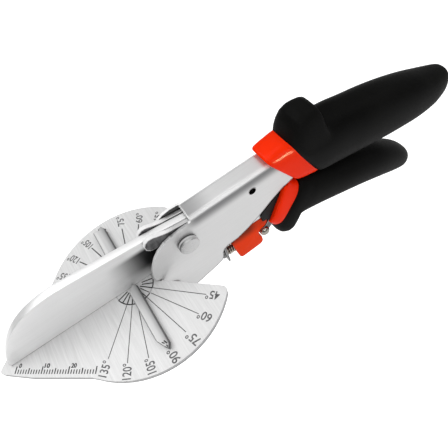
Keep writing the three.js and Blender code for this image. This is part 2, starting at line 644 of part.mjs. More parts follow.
function addMainSpring() {
  const pin = rodY(SPRING_PIN_R, -LEVER_HALF, LEVER_HALF, SPRING_PIN, 20);
  put("spring_pin", pin, darkSteel(), lever);

  const { coilR, wireR, halfY, fromDegrees, toDegrees, coilSteps } = MAIN_SPRING;
  const [x, z] = SPRING_PIN;
  const onCoil = (t) => {
    const a = degToRad(fromDegrees + (toDegrees - fromDegrees) * t);
    const y = -halfY + 2 * halfY * t;
    return new THREE.Vector3(x + coilR * Math.cos(a), y, z + coilR * Math.sin(a));
  };
  const legDirection = new THREE.Vector3(0.5, 0, 0.866);
  const points = MAIN_SPRING.upperLeg.map((d) => onCoil(0).addScaledVector(legDirection, d));
  for (let k = 0; k <= coilSteps; k++) points.push(onCoil(k / coilSteps));
  for (const [legX, legZ] of MAIN_SPRING.lowerLeg) {
    points.push(new THREE.Vector3(legX, halfY, legZ));
  }
  put("main_spring", wire(points, wireR, 64), springSteel(), lever);
}

// --- latch: a plastic block under the lever that slides along it against a small spring
const LATCH_HALF = 3.4;
const LATCH_SPRING = { coilR: 1.85, wireR: 0.36, turns: 3.5, x0: -37.45, x1: -40.9, coilSteps: 40 };
const LATCH_BORE = { radius: 2.6, length: 12, backX: -43.4 };   // blind, open to the front
const LATCH_PIN_PROFILE = [
  [0, -4.1], [1.9, -4.1], [2.1, -3.9], [2.1, -3.3], [LATCH_PIN_R, -3.3], [LATCH_PIN_R, 3.3],
  [2.1, 3.3], [2.1, 3.75], [1.85, 4.35], [1.35, 4.85], [0.7, 5.12], [0, 5.2],
];
const LATCH_SIDE = [            // [x, z]
  [-41.0, -5.4], [-40.9, -7.8], [-39.8, -9.2], [-39.9, -10.2], [-41.3, -20.8], [-41.9, -22.0],
  [-43.0, -22.4], [-51.5, -21.7], [-52.7, -21.1], [-53.2, -20.0], [-53.1, -17.4],
  [-52.4, -16.2], [-52.1, -15.2], [-52.0, -14.1], [-52.3, -12.9], [-53.0, -12.0],
  [-54.3, -11.4], [-55.3, -11.1], [-56.1, -10.3], [-56.7, -9.2], [-56.9, -7.0], [-56.7, -5.6],
  [-56.3, -5.1], [-55.2, -5.0], [-47.0, -5.0], [-41.6, -5.0],
];

function addLatch() {
  put("latch_pin", turnY(LATCH_PIN_PROFILE, LATCH_PIN, 26), satinSteel(), lever);

  const { coilR, wireR, turns, x0, x1, coilSteps } = LATCH_SPRING;
  const points = [];
  for (let k = 0; k <= coilSteps; k++) {
    const t = k / coilSteps;
    const a = t * 2 * Math.PI * turns;
    const z = LATCH_AXIS_Z + coilR * Math.sin(a);
    points.push(new THREE.Vector3(x0 + (x1 - x0) * t, coilR * Math.cos(a), z));
  }
  put("latch_spring", wire(points, wireR, 46), springSteel(), lever);

  const { radius, length, backX } = LATCH_BORE;
  const bore = new THREE.CylinderGeometry(radius, radius, length, 24);
  bore.rotateZ(Math.PI / 2);
  bore.translate(backX + length / 2, 0, LATCH_AXIS_Z);
  const slider = centredSlab(LATCH_SIDE, LATCH_HALF).subtract(solid(bore));
  put("latch_slider", slider, orange(), latch);
}

// --- lower handle, with a finger guard on its grip; tables of rings, front to back
const LOWER_BAND = [
  [-65.6, 6.6, -57.2, -9.4, 5.6, 5.0],
  [-66.4, 7.8, -57.4, -10.4, 6.1, 4.6],
  [-68.4, 8.4, -58.0, -12.0, 6.4, 4.0],
  [-71.3, 6.1, -59.0, -13.8, 6.5, 3.6],
  [-75.6, 4.1, -60.8, -15.0, 6.4, 3.4],
];
const LOWER_CORE = [
  [-72.8, 2.2, -61.4, -14.2, 5.6, 3.2],
  [-80.0, 0.0, -72.0, -15.2, 6.0, 3.0],
  [-90.0, -3.4, -84.0, -16.6, 6.2, 3.0],
  [-106.0, -9.0, -103.0, -22.6, 6.2, 3.0],
  [-118.0, -14.4, -117.0, -27.4, 5.8, 3.0],
  [-122.4, -18.0, -122.4, -28.6, 4.6, 2.6],
  [-124.0, -20.2, -124.0, -27.4, 2.8, 2.4],
];
const LOWER_GRIP = [
  [-75.0, 3.6, -59.6, -14.6, 6.6, 3.2],
  [-76.2, 3.4, -60.0, -17.6, 7.3, 3.0],
  [-77.6, 3.0, -61.4, -21.0, 7.7, 2.8],
  [-79.0, 2.5, -63.4, -23.4, 7.9, 2.6],
  [-80.2, 2.0, -65.0, -22.6, 8.1, 2.5],
  [-81.2, 1.6, -65.9, -19.8, 8.3, 2.4],
  [-82.6, 1.1, -67.4, -16.8, 8.5, 2.4],
  [-85.2, 0.2, -71.6, -16.0, 8.6, 2.4],
  [-90.0, -1.7, -81.0, -17.8, 8.7, 2.4],
  [-97.0, -4.0, -91.0, -20.6, 8.8, 2.3],
  [-107.0, -7.2, -103.5, -24.4, 8.7, 2.3],
  [-117.0, -11.2, -115.0, -28.6, 8.4, 2.3],
  [-126.0, -16.4, -125.0, -32.4, 7.6, 2.3],
  [-131.4, -21.0, -131.2, -34.8, 6.3, 2.2],
  [-134.8, -25.6, -134.8, -34.4, 4.4, 2.2],
  [-136.2, -28.6, -136.2, -32.6, 2.2, 2.0],
];
// room in the sleeve for the lever's tail and for the body's cheeks, [x, z]
const LEVER_ROOM = [
  [-54.0, -1.6], [-59.6, 2.0], [-66.4, 3.0], [-78.4, -4.0], [-104.0, -12.6], [-119.3, -20.2],
  [-119.3, -26.1], [-104.0, -21.2], [-74.0, -13.8], [-60.0, -12.6], [-54.0, -17.2],
];
const CHEEK_ROOM = [
  [-50, -6.0], [-53.4, -1.4], [-59.9, 2.9], [-64.2, 5.2], [-72.0, 8.2], [-80.0, 9.6],
  [-80, 30], [-50, 30],
];

function addLowerHandle() {
  addHandle({
    prefix: "lower",
    band: LOWER_BAND,
    core: LOWER_CORE,
    grip: LOWER_GRIP,
    pockets: [
      centredSlab(LEVER_ROOM, LEVER_HALF + HANDLE_GAP),
      centredSlab(CHEEK_ROOM, BODY_HALF + HANDLE_GAP),
    ],
    room: bandRoom(LOWER_BAND, [-55.6, 9.6, -47.2, -12.6, 8.6, 5.0], 0.35, 0.45),
    parent: lever,
  });
}

// --- black cover over the lever in front of the lower band, outlines in [x, z]
const COVER_SIDE = [
  [-64.1, 4.5], [-60.2, 2.7], [-55.0, -0.9], [-54.2, -2.2], [-54.4, -6.2], [-56.7, -6.6],
  [-57.25, -8.4],
];
const COVER_SLOT = [            // one for each side of the lever channel
  [-50, 5.0], [-53.2, 1.0], [-55.2, -1.5], [-60.0, 1.75], [-66.6, 2.95], [-70, -20], [-50, -20],
];

function addLeverCover() {
  const cover = centredSlab(COVER_SIDE, 4.3)
    .subtract(slabY(COVER_SLOT, -3.4, -1.6))
    .subtract(slabY(COVER_SLOT, 1.6, 3.4))
    .subtract(box(-62, -50, -1.7, 1.7, -9.5, -3.2));
  put("lever_cover", cover, black(), lever);
}

// ================================================================ ASSEMBLY
addPlate();
addBody();
addJaw();
addPivot();
addUpperHandle();
addFence();

root.add(lever);
addBlade();
addLeverChannel();
addMainSpring();
lever.add(latch);
addLatch();
addLowerHandle();
addLeverCover();

root.position.set(...TO_ORIGIN);
root.updateMatrixWorld(true);

export default root;
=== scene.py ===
# Hand shears with a protractor plate. A lever carries the blade down onto the plate, whose
# turning disc holds the two fence arms. The blade lies in the XZ plane with its tip towards +X,
# the handles run back to -X, +Y is the near side and +Z is up.
# Outlines and stations are in mm from the protractor's centre.
import bpy, bmesh, math
import numpy as np
from mathutils import Matrix, Vector

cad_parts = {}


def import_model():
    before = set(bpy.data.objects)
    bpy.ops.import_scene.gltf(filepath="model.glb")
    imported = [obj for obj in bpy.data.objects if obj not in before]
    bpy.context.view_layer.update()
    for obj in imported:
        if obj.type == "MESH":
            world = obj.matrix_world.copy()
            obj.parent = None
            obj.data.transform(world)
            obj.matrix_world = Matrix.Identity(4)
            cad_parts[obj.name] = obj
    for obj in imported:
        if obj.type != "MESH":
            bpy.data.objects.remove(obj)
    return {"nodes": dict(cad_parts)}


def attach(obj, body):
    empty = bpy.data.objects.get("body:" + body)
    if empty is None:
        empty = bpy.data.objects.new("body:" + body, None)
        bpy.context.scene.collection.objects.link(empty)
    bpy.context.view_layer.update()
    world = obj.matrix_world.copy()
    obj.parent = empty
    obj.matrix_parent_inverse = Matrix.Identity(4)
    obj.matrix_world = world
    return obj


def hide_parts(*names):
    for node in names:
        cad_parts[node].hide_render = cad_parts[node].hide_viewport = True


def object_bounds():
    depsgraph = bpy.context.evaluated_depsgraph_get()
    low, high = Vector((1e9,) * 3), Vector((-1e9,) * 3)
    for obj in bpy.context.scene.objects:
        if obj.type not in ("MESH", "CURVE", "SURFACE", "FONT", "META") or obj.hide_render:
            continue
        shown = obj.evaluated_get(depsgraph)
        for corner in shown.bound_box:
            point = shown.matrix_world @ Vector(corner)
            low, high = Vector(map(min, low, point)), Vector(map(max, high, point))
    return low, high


cad_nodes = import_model()["nodes"]
cad_low, cad_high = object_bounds()
MM = 0.001
# from the protractor's centre to the frame's origin, the middle of the box, in metres
SHIFT = Vector((0.0496, 0.0, 0.00015))

PIVOT_X, PIVOT_Z = -24.3, 11.0
LATCH_AXIS_Z = -16.4  # the latch's bore, spring and guide pin lie along X at this height


# ------------------------------------------------------------------ material builder


def grey(value):
    return (value,) * 3


def scaled(color, factor):
    return tuple(min(1.0, x * factor) for x in color)


class Mat:
    """Builds a Principled material from nodes; its methods take and return sockets."""

    def __init__(self, name, rough, metal=0.0, specular=0.5):
        self.material = bpy.data.materials.new(name)
        self.material.use_nodes = True
        self.tree = self.material.node_tree
        self.tree.nodes.clear()
        output = self.add("ShaderNodeOutputMaterial")
        self.principled = self.add("ShaderNodeBsdfPrincipled")
        self.feed(self.principled.outputs["BSDF"], output.inputs["Surface"])
        self.set("Roughness", rough)
        self.set("Metallic", metal)
        self.set("Specular IOR Level", specular)
        coordinates = self.add("ShaderNodeTexCoord")
        centred = self.add("ShaderNodeVectorMath", operation="SUBTRACT")
        self.feed(coordinates.outputs["Object"], centred.inputs[0])
        self.feed(SHIFT, centred.inputs[1])
        self.centred = centred.outputs["Vector"]

    def add(self, kind, **props):
        node = self.tree.nodes.new(kind)
        for key, value in props.items():
            setattr(node, key, value)
        return node

    def feed(self, value, socket):
        """links a socket, or sets a number or an RGB tuple"""
        if isinstance(value, bpy.types.NodeSocket):
            self.tree.links.new(value, socket)
        else:
            socket.default_value = (*value, 1.0) if isinstance(value, tuple) else value

    def set(self, name, value):
        self.feed(value, self.principled.inputs[name])

    def noise(self, scale, turn=(0, 0, 0), detail=3.0, rough=0.6):
        """noise with its scale per metre, one number or one for each axis"""
        mapping = self.add("ShaderNodeMapping")
        mapping.inputs["Scale"].default_value = scale if isinstance(scale, tuple) else (scale,) * 3
        mapping.inputs["Rotation"].default_value = turn
        self.feed(self.centred, mapping.inputs["Vector"])
        node = self.add("ShaderNodeTexNoise")
        self.feed(1.0, node.inputs["Scale"])
        self.feed(detail, node.inputs["Detail"])
        self.feed(rough, node.inputs["Roughness"])
        self.feed(mapping.outputs["Vector"], node.inputs["Vector"])
        return node.outputs["Fac"]

    def ramp(self, source, over=(0, 1), to=(0, 1), smooth=False):
        """clamped map of the range `over` to the range `to`"""
        node = self.add("ShaderNodeMapRange")
        if smooth:
            node.interpolation_type = "SMOOTHSTEP"
        for key, value in zip(("From Min", "From Max", "To Min", "To Max"), (*over, *to)):
            self.feed(value, node.inputs[key])
        self.feed(source, node.inputs["Value"])
        return node.outputs["Result"]

    def math(self, operation, first, second):
        node = self.add("ShaderNodeMath", operation=operation)
        self.feed(first, node.inputs[0])
        self.feed(second, node.inputs[1])
        return node.outputs["Value"]

    def multiply(self, product, *factors):
        for factor in factors:
            product = self.math("MULTIPLY", product, factor)
        return product

    def absolute(self, value):
        return self.math("ABSOLUTE", value, 0.0)

    def mix(self, factor, first, second, mode="MIX"):
        node = self.add("ShaderNodeMix", data_type="RGBA", blend_type=mode)
        for index, value in ((0, factor), (6, first), (7, second)):
            self.feed(value, node.inputs[index])
        return node.outputs[2]

    def split(self, vector):
        node = self.add("ShaderNodeSeparateXYZ")
        self.feed(vector, node.inputs["Vector"])
        return node.outputs

    def position(self):
        """X, Y and Z from the protractor's centre, in metres"""
        return self.split(self.centred)

    def bevel(self, radius_mm):
        node = self.add("ShaderNodeBevel", samples=6)
        self.feed(radius_mm * MM, node.inputs["Radius"])
        return node.outputs["Normal"]

    def geometry_normal(self):
        return self.add("ShaderNodeNewGeometry").outputs["Normal"]

    def normal(self, bevel_mm=0.0):
        """X, Y and Z of the surface normal, softened at edges when a bevel is given"""
        return self.split(self.bevel(bevel_mm) if bevel_mm else self.geometry_normal())

    def edge(self, bevel_mm):
        """0 on flats, towards 1 on edges"""
        dot = self.add("ShaderNodeVectorMath", operation="DOT_PRODUCT")
        self.feed(self.bevel(bevel_mm), dot.inputs[0])
        self.feed(self.geometry_normal(), dot.inputs[1])
        return self.ramp(dot.outputs["Value"], over=(1.0, 0.82))

    def relief(self, bumps, bevel_mm=0.0):
        """bumps are (height, strength, distance in metres), laid over an optional bevel"""
        normal = self.bevel(bevel_mm) if bevel_mm else None
        for height, strength, distance in bumps:
            bump = self.add("ShaderNodeBump")
            self.feed(strength, bump.inputs["Strength"])
            self.feed(distance, bump.inputs["Distance"])
            self.feed(height, bump.inputs["Height"])
            if normal is not None:
                self.feed(normal, bump.inputs["Normal"])
            normal = bump.outputs["Normal"]
        self.set("Normal", normal)


def brushed(name, tone, rough, scale, streak, bump, bevel, turn=(0, 0, 0), tint=(1, 1, 1),
            edge_highlight=None, metal=1.0, shade=None):
    """metal with fine streaks, broad clouding and small scuffs; bevel in mm"""
    mat = Mat(name, rough, metal)
    fine = mat.noise(scale, turn=turn, detail=4.0, rough=0.65)
    broad = mat.noise(60, turn=(0.3, 0.2, 0.1), detail=2.0, rough=0.5)
    scuff = mat.noise(420, turn=(0.5, 0.1, 0.7), detail=5.0, rough=0.7)
    base = scaled(tint, tone)
    color = mat.mix(mat.ramp(fine, over=(0.3, 0.7)), scaled(base, 1 - streak),
                    scaled(base, 1 + streak))
    color = mat.mix(mat.ramp(broad, over=(0.35, 0.7), to=(0, 0.35)), color, scaled(base, 0.93))
    color = mat.mix(mat.ramp(scuff, over=(0.62, 0.72), to=(0, 0.25)), color, scaled(base, 1.12))
    if shade:
        color = shade(mat, color)
    # painted highlight: every edge is lightened towards the base tone times the edge factor
    if edge_highlight:
        edge = mat.multiply(mat.edge(bevel * 1.6), 0.7)
        color = mat.mix(edge, color, scaled(base, edge_highlight))
    mat.set("Base Color", color)
    streaks = mat.ramp(fine, over=(0.3, 0.7), to=(rough - 0.05, rough + 0.06))
    mat.set("Roughness", mat.math("ADD", streaks, mat.ramp(scuff, over=(0.5, 0.75), to=(0, 0.05))))
    mat.relief([(fine, bump, 0.00004), (scuff, bump * 0.4, 0.00005)], bevel)
    return mat.material


def plastic(name, color, rough, specular, grain, vary, scale, coat=0.0, coat_rough=0.0,
            bevel=0.0, shade=None):
    """plastic with broad clouding and a fine grain; bevel in mm"""
    mat = Mat(name, rough, 0.0, specular)
    broad = mat.noise(45, turn=(0.4, 0.1, 0.2), detail=3.0, rough=0.5)
    fine = mat.noise(scale, detail=4.0, rough=0.6)
    tone = mat.mix(mat.ramp(broad, over=(0.35, 0.65)), scaled(color, 1 - vary),
                   scaled(color, 1 + vary * 0.6))
    tone = mat.mix(mat.ramp(fine, over=(0.4, 0.7), to=(0, 0.35)), tone, scaled(color, 1 + vary))
    if shade:
        tone = shade(mat, tone)
    mat.set("Base Color", tone)
    fine_rough = mat.ramp(fine, over=(0.3, 0.7), to=(rough - 0.06, rough + 0.06))
    broad_rough = mat.ramp(broad, over=(0.3, 0.7), to=(-0.03, 0.04))
    mat.set("Roughness", mat.math("ADD", fine_rough, broad_rough))
    if coat:
        mat.set("Coat Weight", coat)
        mat.set("Coat Roughness", coat_rough)
    mat.relief([(fine, grain, 0.00006), (broad, 0.15, 0.0004)], bevel)
    return mat.material


def ink(name, specular, dark, light):
    mat = Mat(name, 0.6, 0.0, specular)
    noise = mat.noise(900)
    mat.set("Base Color", mat.mix(mat.ramp(noise, over=(0.3, 0.7)), dark, light))
    mat.relief([(noise, 0.2, 0.00003)])
    return mat.material


# ------------------------------------------------------------------ shading by place
# each takes the colour so far and returns it with painted shade and painted highlights laid on;
# positions are in metres


def shade_plate(mat, color):
    # painted shade: the rim is darker than the brushed face, most of all low down
    face = mat.ramp(mat.normal(bevel_mm=0.25)["Z"], over=(0.45, 0.95))
    height = mat.ramp(mat.position()["Z"], over=(-0.0017, -0.0013))
    side = mat.mix(height, (0.16, 0.16, 0.165), (0.62, 0.62, 0.63))
    return mat.mix(face, mat.mix(1.0, color, side, "MULTIPLY"), color)


def shade_arm(mat, color):
    # painted shade and highlight: the flat top of the bar is painted as if rolled, from dark at -X
    # to light at +X
    normal, point = mat.normal(bevel_mm=0.25), mat.position()
    roll = mat.ramp(point["X"], over=(-0.0010, 0.0012), smooth=True)
    dark = mat.math("SUBTRACT", 0.55, mat.multiply(roll, 0.55))
    color = mat.mix(dark, color, (0.14, 0.14, 0.145))
    light = mat.ramp(point["X"], over=(0.0014, 0.0024), to=(0.0, 0.5), smooth=True)
    color = mat.mix(light, color, grey(0.86))
    # painted shade: faces other than the top are darkened
    face = mat.ramp(normal["Z"], over=(0.45, 0.95))
    return mat.mix(face, mat.mix(1.0, color, (0.25, 0.25, 0.255), "MULTIPLY"), color)


def shade_bolt(mat, color):
    # painted shade and highlight on the head's wall: dark at the cheek, bright outside that, dark
    # again towards +X
    point, normal = mat.position(), mat.normal()
    wall = mat.ramp(mat.absolute(normal["Y"]), over=(0.75, 0.45))
    foot = mat.ramp(point["Y"], over=(0.00500, 0.00555), smooth=True)
    tone = mat.mix(foot, (0.012, 0.012, 0.013), grey(0.66))
    nose = mat.multiply(mat.ramp(point["Y"], over=(0.0057, 0.0063), smooth=True),
                        mat.ramp(normal["X"], over=(-0.10, 0.60), to=(0.25, 0.92)))
    tone = mat.mix(nose, tone, (0.03, 0.03, 0.032))
    painted = mat.multiply(wall, mat.ramp(point["Y"], over=(0.0064, 0.0068), to=(1.0, 0.35)))
    mat.set("Metallic", mat.ramp(painted, to=(1, 0)))
    return mat.mix(painted, color, tone)


def shade_body(mat, color):
    point, normal = mat.position(), mat.normal()
    # painted dark reflection: a soft dark band under the fold, whose top line climbs slightly
    # towards -X
    fold_top = mat.math("ADD", mat.multiply(point["X"], -0.0324), 0.02002)
    depth = mat.math("SUBTRACT", fold_top, point["Z"])
    band = mat.multiply(
        mat.ramp(depth, over=(0.0006, 0.0016), smooth=True),
        mat.ramp(depth, over=(0.0020, 0.0066), to=(1, 0), smooth=True),
        mat.ramp(mat.absolute(normal["Y"]), over=(0.4, 0.95)),
        mat.ramp(point["X"], over=(-0.024, -0.031), smooth=True), 0.80)
    color = mat.mix(band, color, (0.11, 0.11, 0.115))
    # painted shade: the flat top greys towards +X
    top = mat.multiply(mat.ramp(normal["Z"], over=(0.5, 0.95)),
                       mat.ramp(point["X"], over=(-0.041, -0.0290), smooth=True), 0.62)
    color = mat.mix(top, color, (0.17, 0.17, 0.175))
    # lower edges fall into shade
    soft, softer = mat.normal(bevel_mm=0.55), mat.normal(bevel_mm=0.9)
    low = mat.multiply(mat.ramp(softer["Z"], over=(-0.05, -0.28)), 0.92)
    color = mat.mix(low, color, (0.03, 0.03, 0.032))
    # painted shade: walls of the openings well behind the pivot are painted near black
    hole_shade = mat.multiply(
        mat.ramp(mat.absolute(normal["Y"]), over=(0.35, 0.15)),
        mat.multiply(mat.ramp(point["X"], over=(-0.040, -0.042)),
                     mat.ramp(point["Z"], over=(0.0172, 0.0166))),
        mat.ramp(point["Z"], over=(0.0090, 0.0096)))
    color = mat.mix(hole_shade, color, grey(0.012))
    # painted shade: the far cheek's inner side is painted dark too
    inner = mat.multiply(mat.ramp(point["Y"], over=(-0.0028, -0.0033)),
                         mat.ramp(normal["Y"], over=(0.5, 0.8)), 0.92)
    color = mat.mix(inner, color, (0.015, 0.015, 0.016))
    # painted highlights: edges that face +X and both folds are painted near white and made matt
    cut_edge_highlight = mat.multiply(mat.ramp(soft["X"], over=(0.16, 0.42)),
                            mat.ramp(point["Z"], over=(0.004, 0.012), to=(0.25, 1)),
                            mat.ramp(point["X"], over=(-0.0345, -0.0330)))
    far_fold_highlight = mat.multiply(mat.ramp(point["Y"], over=(-0.0029, -0.0034)),
                            mat.ramp(normal["Z"], over=(0.25, 0.45)))
    near_fold_highlight = mat.multiply(mat.ramp(normal["Y"], over=(0.20, 0.40)),
                             mat.ramp(normal["Z"], over=(0.45, 0.65)), 0.55)
    white = mat.math("MAXIMUM", cut_edge_highlight, mat.math("MAXIMUM", far_fold_highlight, near_fold_highlight))
    mat.set("Metallic", mat.ramp(white, to=(0.62, 0.0)))
    color = mat.mix(white, color, grey(0.97))
    # painted shade: a dark line along the far fold's outer side
    line = mat.multiply(mat.ramp(point["Y"], over=(-0.0041, -0.0043)),
                        mat.ramp(normal["Y"], over=(-0.30, -0.45)),
                        mat.ramp(normal["Z"], over=(0.15, 0.35)), 0.9)
    return mat.mix(line, color, grey(0.16))


def shade_lever(mat, color):
    # painted shade: the tongues' sides lie between blade and cheek and are painted dark, with grey
    # streaks
    point, normal = mat.position(), mat.normal()
    side = mat.ramp(mat.absolute(normal["Y"]), over=(0.5, 0.95))
    front = mat.ramp(point["X"], over=(-0.0265, -0.0235))
    grain = mat.noise((500, 80, 200), turn=(0, 0.5, 0), detail=2.0, rough=0.5)
    tongue_shade = mat.multiply(side, front)
    dark = mat.mix(mat.ramp(grain, over=(0.42, 0.62)), (0.010, 0.010, 0.011), (0.10, 0.10, 0.105))
    color = mat.mix(mat.multiply(tongue_shade, 0.95), color, dark)
    # painted highlight: their rims and the faces ahead are painted near white and made matt
    soft = mat.normal(bevel_mm=0.9)
    rim = mat.multiply(mat.ramp(mat.math("MAXIMUM", soft["Z"], soft["X"]), over=(0.22, 0.45)),
                       mat.ramp(point["X"], over=(-0.0225, -0.0195)))
    ahead = mat.multiply(mat.ramp(normal["X"], over=(0.3, 0.6)), front)
    white = mat.math("MAXIMUM", rim, ahead)
    painted = mat.math("MAXIMUM", white, mat.multiply(tongue_shade, 0.8))
    mat.set("Metallic", mat.ramp(painted, to=(1, 0)))
    color = mat.mix(white, color, grey(0.95))
    # low down at the handle end everything is in shade
    deep = mat.multiply(mat.ramp(point["Z"], over=(-0.004, -0.0075)),
                        mat.ramp(point["X"], over=(-0.030, -0.034)), 0.85)
    return mat.mix(deep, color, grey(0.05))


def shade_blade(mat, color):
    # painted shade: the colour darkens and the reflection is turned down towards the root, where
    # the blade goes in between the tongues
    point, normal = mat.position(), mat.normal()
    root = mat.multiply(mat.ramp(point["X"], over=(0.0060, -0.0100), smooth=True),
                        mat.ramp(point["Z"], over=(0.0185, 0.0155), smooth=True),
                        mat.ramp(point["Z"], over=(0.000, 0.0080), to=(0.20, 1.0), smooth=True))
    flat = mat.ramp(mat.absolute(normal["Y"]), over=(0.55, 0.95))
    mat.set("Metallic", mat.mix(flat, grey(0.55), grey(0.30)))
    # a darker honed line along the cutting edge
    hone = mat.multiply(mat.ramp(point["Z"], over=(0.0004, 0.0001)), 0.75)
    color = mat.mix(hone, color, grey(0.20))
    mat.set("Specular IOR Level", mat.ramp(root, to=(0.5, 0.12)))
    return mat.mix(mat.multiply(root, 0.99), color, (0.008, 0.008, 0.009))


def shade_latch(mat, color):
    # the slider's top goes up into the shade under the cheek
    point = mat.position()
    high = mat.ramp(point["Z"], over=(-0.0125, -0.0065), smooth=True)
    ahead = mat.ramp(point["X"], over=(-0.0530, -0.0475), to=(0.35, 1.0), smooth=True)
    return mat.mix(mat.multiply(high, ahead, 0.85), color, (0.09, 0.018, 0.006))


# ------------------------------------------------------------------ materials
PLATE = dict(rough=0.46, scale=(1300, 45, 1300), turn=(0, 0, math.radians(8)), streak=0.11,
             bump=0.10, metal=0.18, shade=shade_plate)
TURNED = dict(tone=0.60, rough=0.30, scale=900, streak=0.03, bump=0.012, bevel=0.2)

plate_steel = brushed("plate_brushed", tone=0.76, bevel=0.22, **PLATE)
disc_steel = brushed("disc_brushed", tone=0.74, bevel=0.12, **PLATE)
arm_steel = brushed("fence_brushed", tone=0.60, rough=0.40, scale=(1500, 60, 1500), streak=0.06,
                    bump=0.06, bevel=0.22, metal=0.35, shade=shade_arm)
body_steel = brushed("body_satin", tone=0.74, rough=0.36, scale=(60, 1400, 1400),
                     turn=(0, math.radians(-2), 0), streak=0.03, bump=0.03, bevel=0.35,
                     shade=shade_body)
blade_steel = brushed("blade_satin", tone=0.97, rough=0.36, scale=(60, 1300, 1100),
                      turn=(0, math.radians(24), 0), streak=0.03, bump=0.02, bevel=0.0,
                      shade=shade_blade)
lever_steel = brushed("lever_satin", tone=0.74, rough=0.34, scale=(80, 1300, 1300), streak=0.05,
                      bump=0.04, bevel=0.3, edge_highlight=1.3, shade=shade_lever)
bolt_steel = brushed("bolt_turned", edge_highlight=1.35, shade=shade_bolt, **TURNED)
rivet_steel = brushed("rivet_turned", edge_highlight=1.3, **TURNED)
pin_steel = brushed("pin_polished", tone=0.38, rough=0.16, scale=900, tint=(1.0, 0.93, 0.82),
                    streak=0.05, bump=0.01, bevel=0.1, edge_highlight=1.1)
dark_steel = brushed("dark_steel", tone=0.22, rough=0.38, scale=700, streak=0.12, bump=0.15,
                     bevel=0.2, edge_highlight=1.7)
spring_steel = brushed("spring_wire", tone=0.50, rough=0.24, scale=1500, tint=(1.0, 0.92, 0.78),
                       streak=0.15, bump=0.1, bevel=0.0)
bronze = brushed("bush_bronze", tone=0.45, rough=0.4, scale=900, tint=(1.0, 0.72, 0.42),
                 streak=0.1, bump=0.1, bevel=0.1, edge_highlight=1.2)
orange = plastic("orange_gloss", color=(0.97, 0.027, 0.0002), rough=0.34, specular=0.02,
                 grain=0.02, vary=0.05, scale=500, coat=0.10, coat_rough=0.16)
latch_orange = plastic("orange_satin", color=(0.90, 0.046, 0.0008), rough=0.45, specular=0.05,
                       grain=0.05, vary=0.06, scale=700, shade=shade_latch)
grip_black = plastic("grip_black", color=(0.0042, 0.0042, 0.0039), rough=0.52, specular=0.05,
                     grain=0.45, vary=0.55, scale=1500)
cover_black = plastic("cover_black", color=grey(0.006), rough=0.45, specular=0.12,
                      grain=0.15, vary=0.2, scale=1000, bevel=0.2)
ink_dark = ink("engraving", specular=0.15, dark=(0.025, 0.025, 0.027), light=(0.085, 0.085, 0.088))
ink_light = ink("engraving_light", specular=0.15, dark=(0.07, 0.07, 0.072),
                light=(0.22, 0.22, 0.225))
ink_deep = ink("engraving_deep", specular=0.1, dark=grey(0.008), light=grey(0.035))

CAD_MATERIALS = (
    (plate_steel, "protractor_plate"),
    (body_steel, "body_channel"),
    (dark_steel, "jaw_bar plate_screw_rear plate_screw_front fence_pin_near fence_pin_far "
                 "turntable_screw blade_rivet_front blade_rivet_rear spring_pin"),
    (rivet_steel, "jaw_rivet_upper jaw_rivet_lower pivot_nut"),
    (bronze, "pivot_bush"),
    (disc_steel, "turntable"),
    (arm_steel, "fence_arm_near fence_arm_far"),
    (spring_steel, "turntable_washer latch_spring main_spring"),
    (blade_steel, "blade"),
    (lever_steel, "lever_channel"),
    (cover_black, "lever_cover"),
    (bolt_steel, "pivot_bolt"),
    (orange, "upper_sleeve lower_sleeve"),
    (grip_black, "upper_grip lower_grip"),
    (pin_steel, "latch_pin"),
    (latch_orange, "latch_slider"),
)
for material, names in CAD_MATERIALS:
    for name in names.split():
        cad_nodes[name].data.materials.clear()
        cad_nodes[name].data.materials.append(material)


# ------------------------------------------------------------------ mesh helpers


def assign(piece, body, node=None):
    """tells the frame what the piece moves with and the CAD node it replaces"""
    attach(piece, body)
    if node:
        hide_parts(node)


def add_object(name, mesh, body=None, node=None):
    piece = bpy.data.objects.new(name, mesh)
    bpy.context.scene.collection.objects.link(piece)
    mesh.transform(Matrix.Translation(SHIFT))
    if body:
        assign(piece, body, node)
    return piece


def merge(mesh, recalculate=True):
    work = bmesh.new()
    work.from_mesh(mesh)
    bmesh.ops.remove_doubles(work, verts=work.verts, dist=1e-7)
    bmesh.ops.recalc_face_normals(work, faces=work.faces)
    work.to_mesh(mesh)
    work.free()


def make_object(name, shape, material, body=None, node=None, angle=None):
    """smooth object from (verts in metres, faces); edges over `angle` degrees stay sharp"""
    verts, faces = shape
    mesh = bpy.data.meshes.new(name)
    mesh.from_pydata([tuple(v) for v in verts], [], [tuple(f) for f in faces])
    merge(mesh)
    mesh.materials.append(material)
    mesh.polygons.foreach_set("use_smooth", [True] * len(mesh.polygons))
    if angle:
        mesh.set_sharp_from_angle(angle=math.radians(angle))
    return add_object(name, mesh, body, node)


def catmull(points, steps):
    """uniform Catmull-Rom through the rows, `steps` to a span"""
    points = np.asarray(points, float)
    padded = np.vstack([2 * points[0] - points[1], points, 2 * points[-1] - points[-2]])
    out = []
    for i in range(1, len(padded) - 2):
        p0, p1, p2, p3 = padded[i - 1 : i + 3]
        for k in range(steps):
            t = k / steps
            out.append(0.5 * ((2 * p1) + (-p0 + p2) * t + (2 * p0 - 5 * p1 + 4 * p2 - p3) * t * t
                              + (-p0 + 3 * p1 - 3 * p2 + p3) * t ** 3))
    out.append(padded[-2])
    return np.array(out)


def circle(seg):
    """(cos, sin) round a full turn"""
    turns = [2 * math.pi * k / seg for k in range(seg)]
    return [(math.cos(turn), math.sin(turn)) for turn in turns]


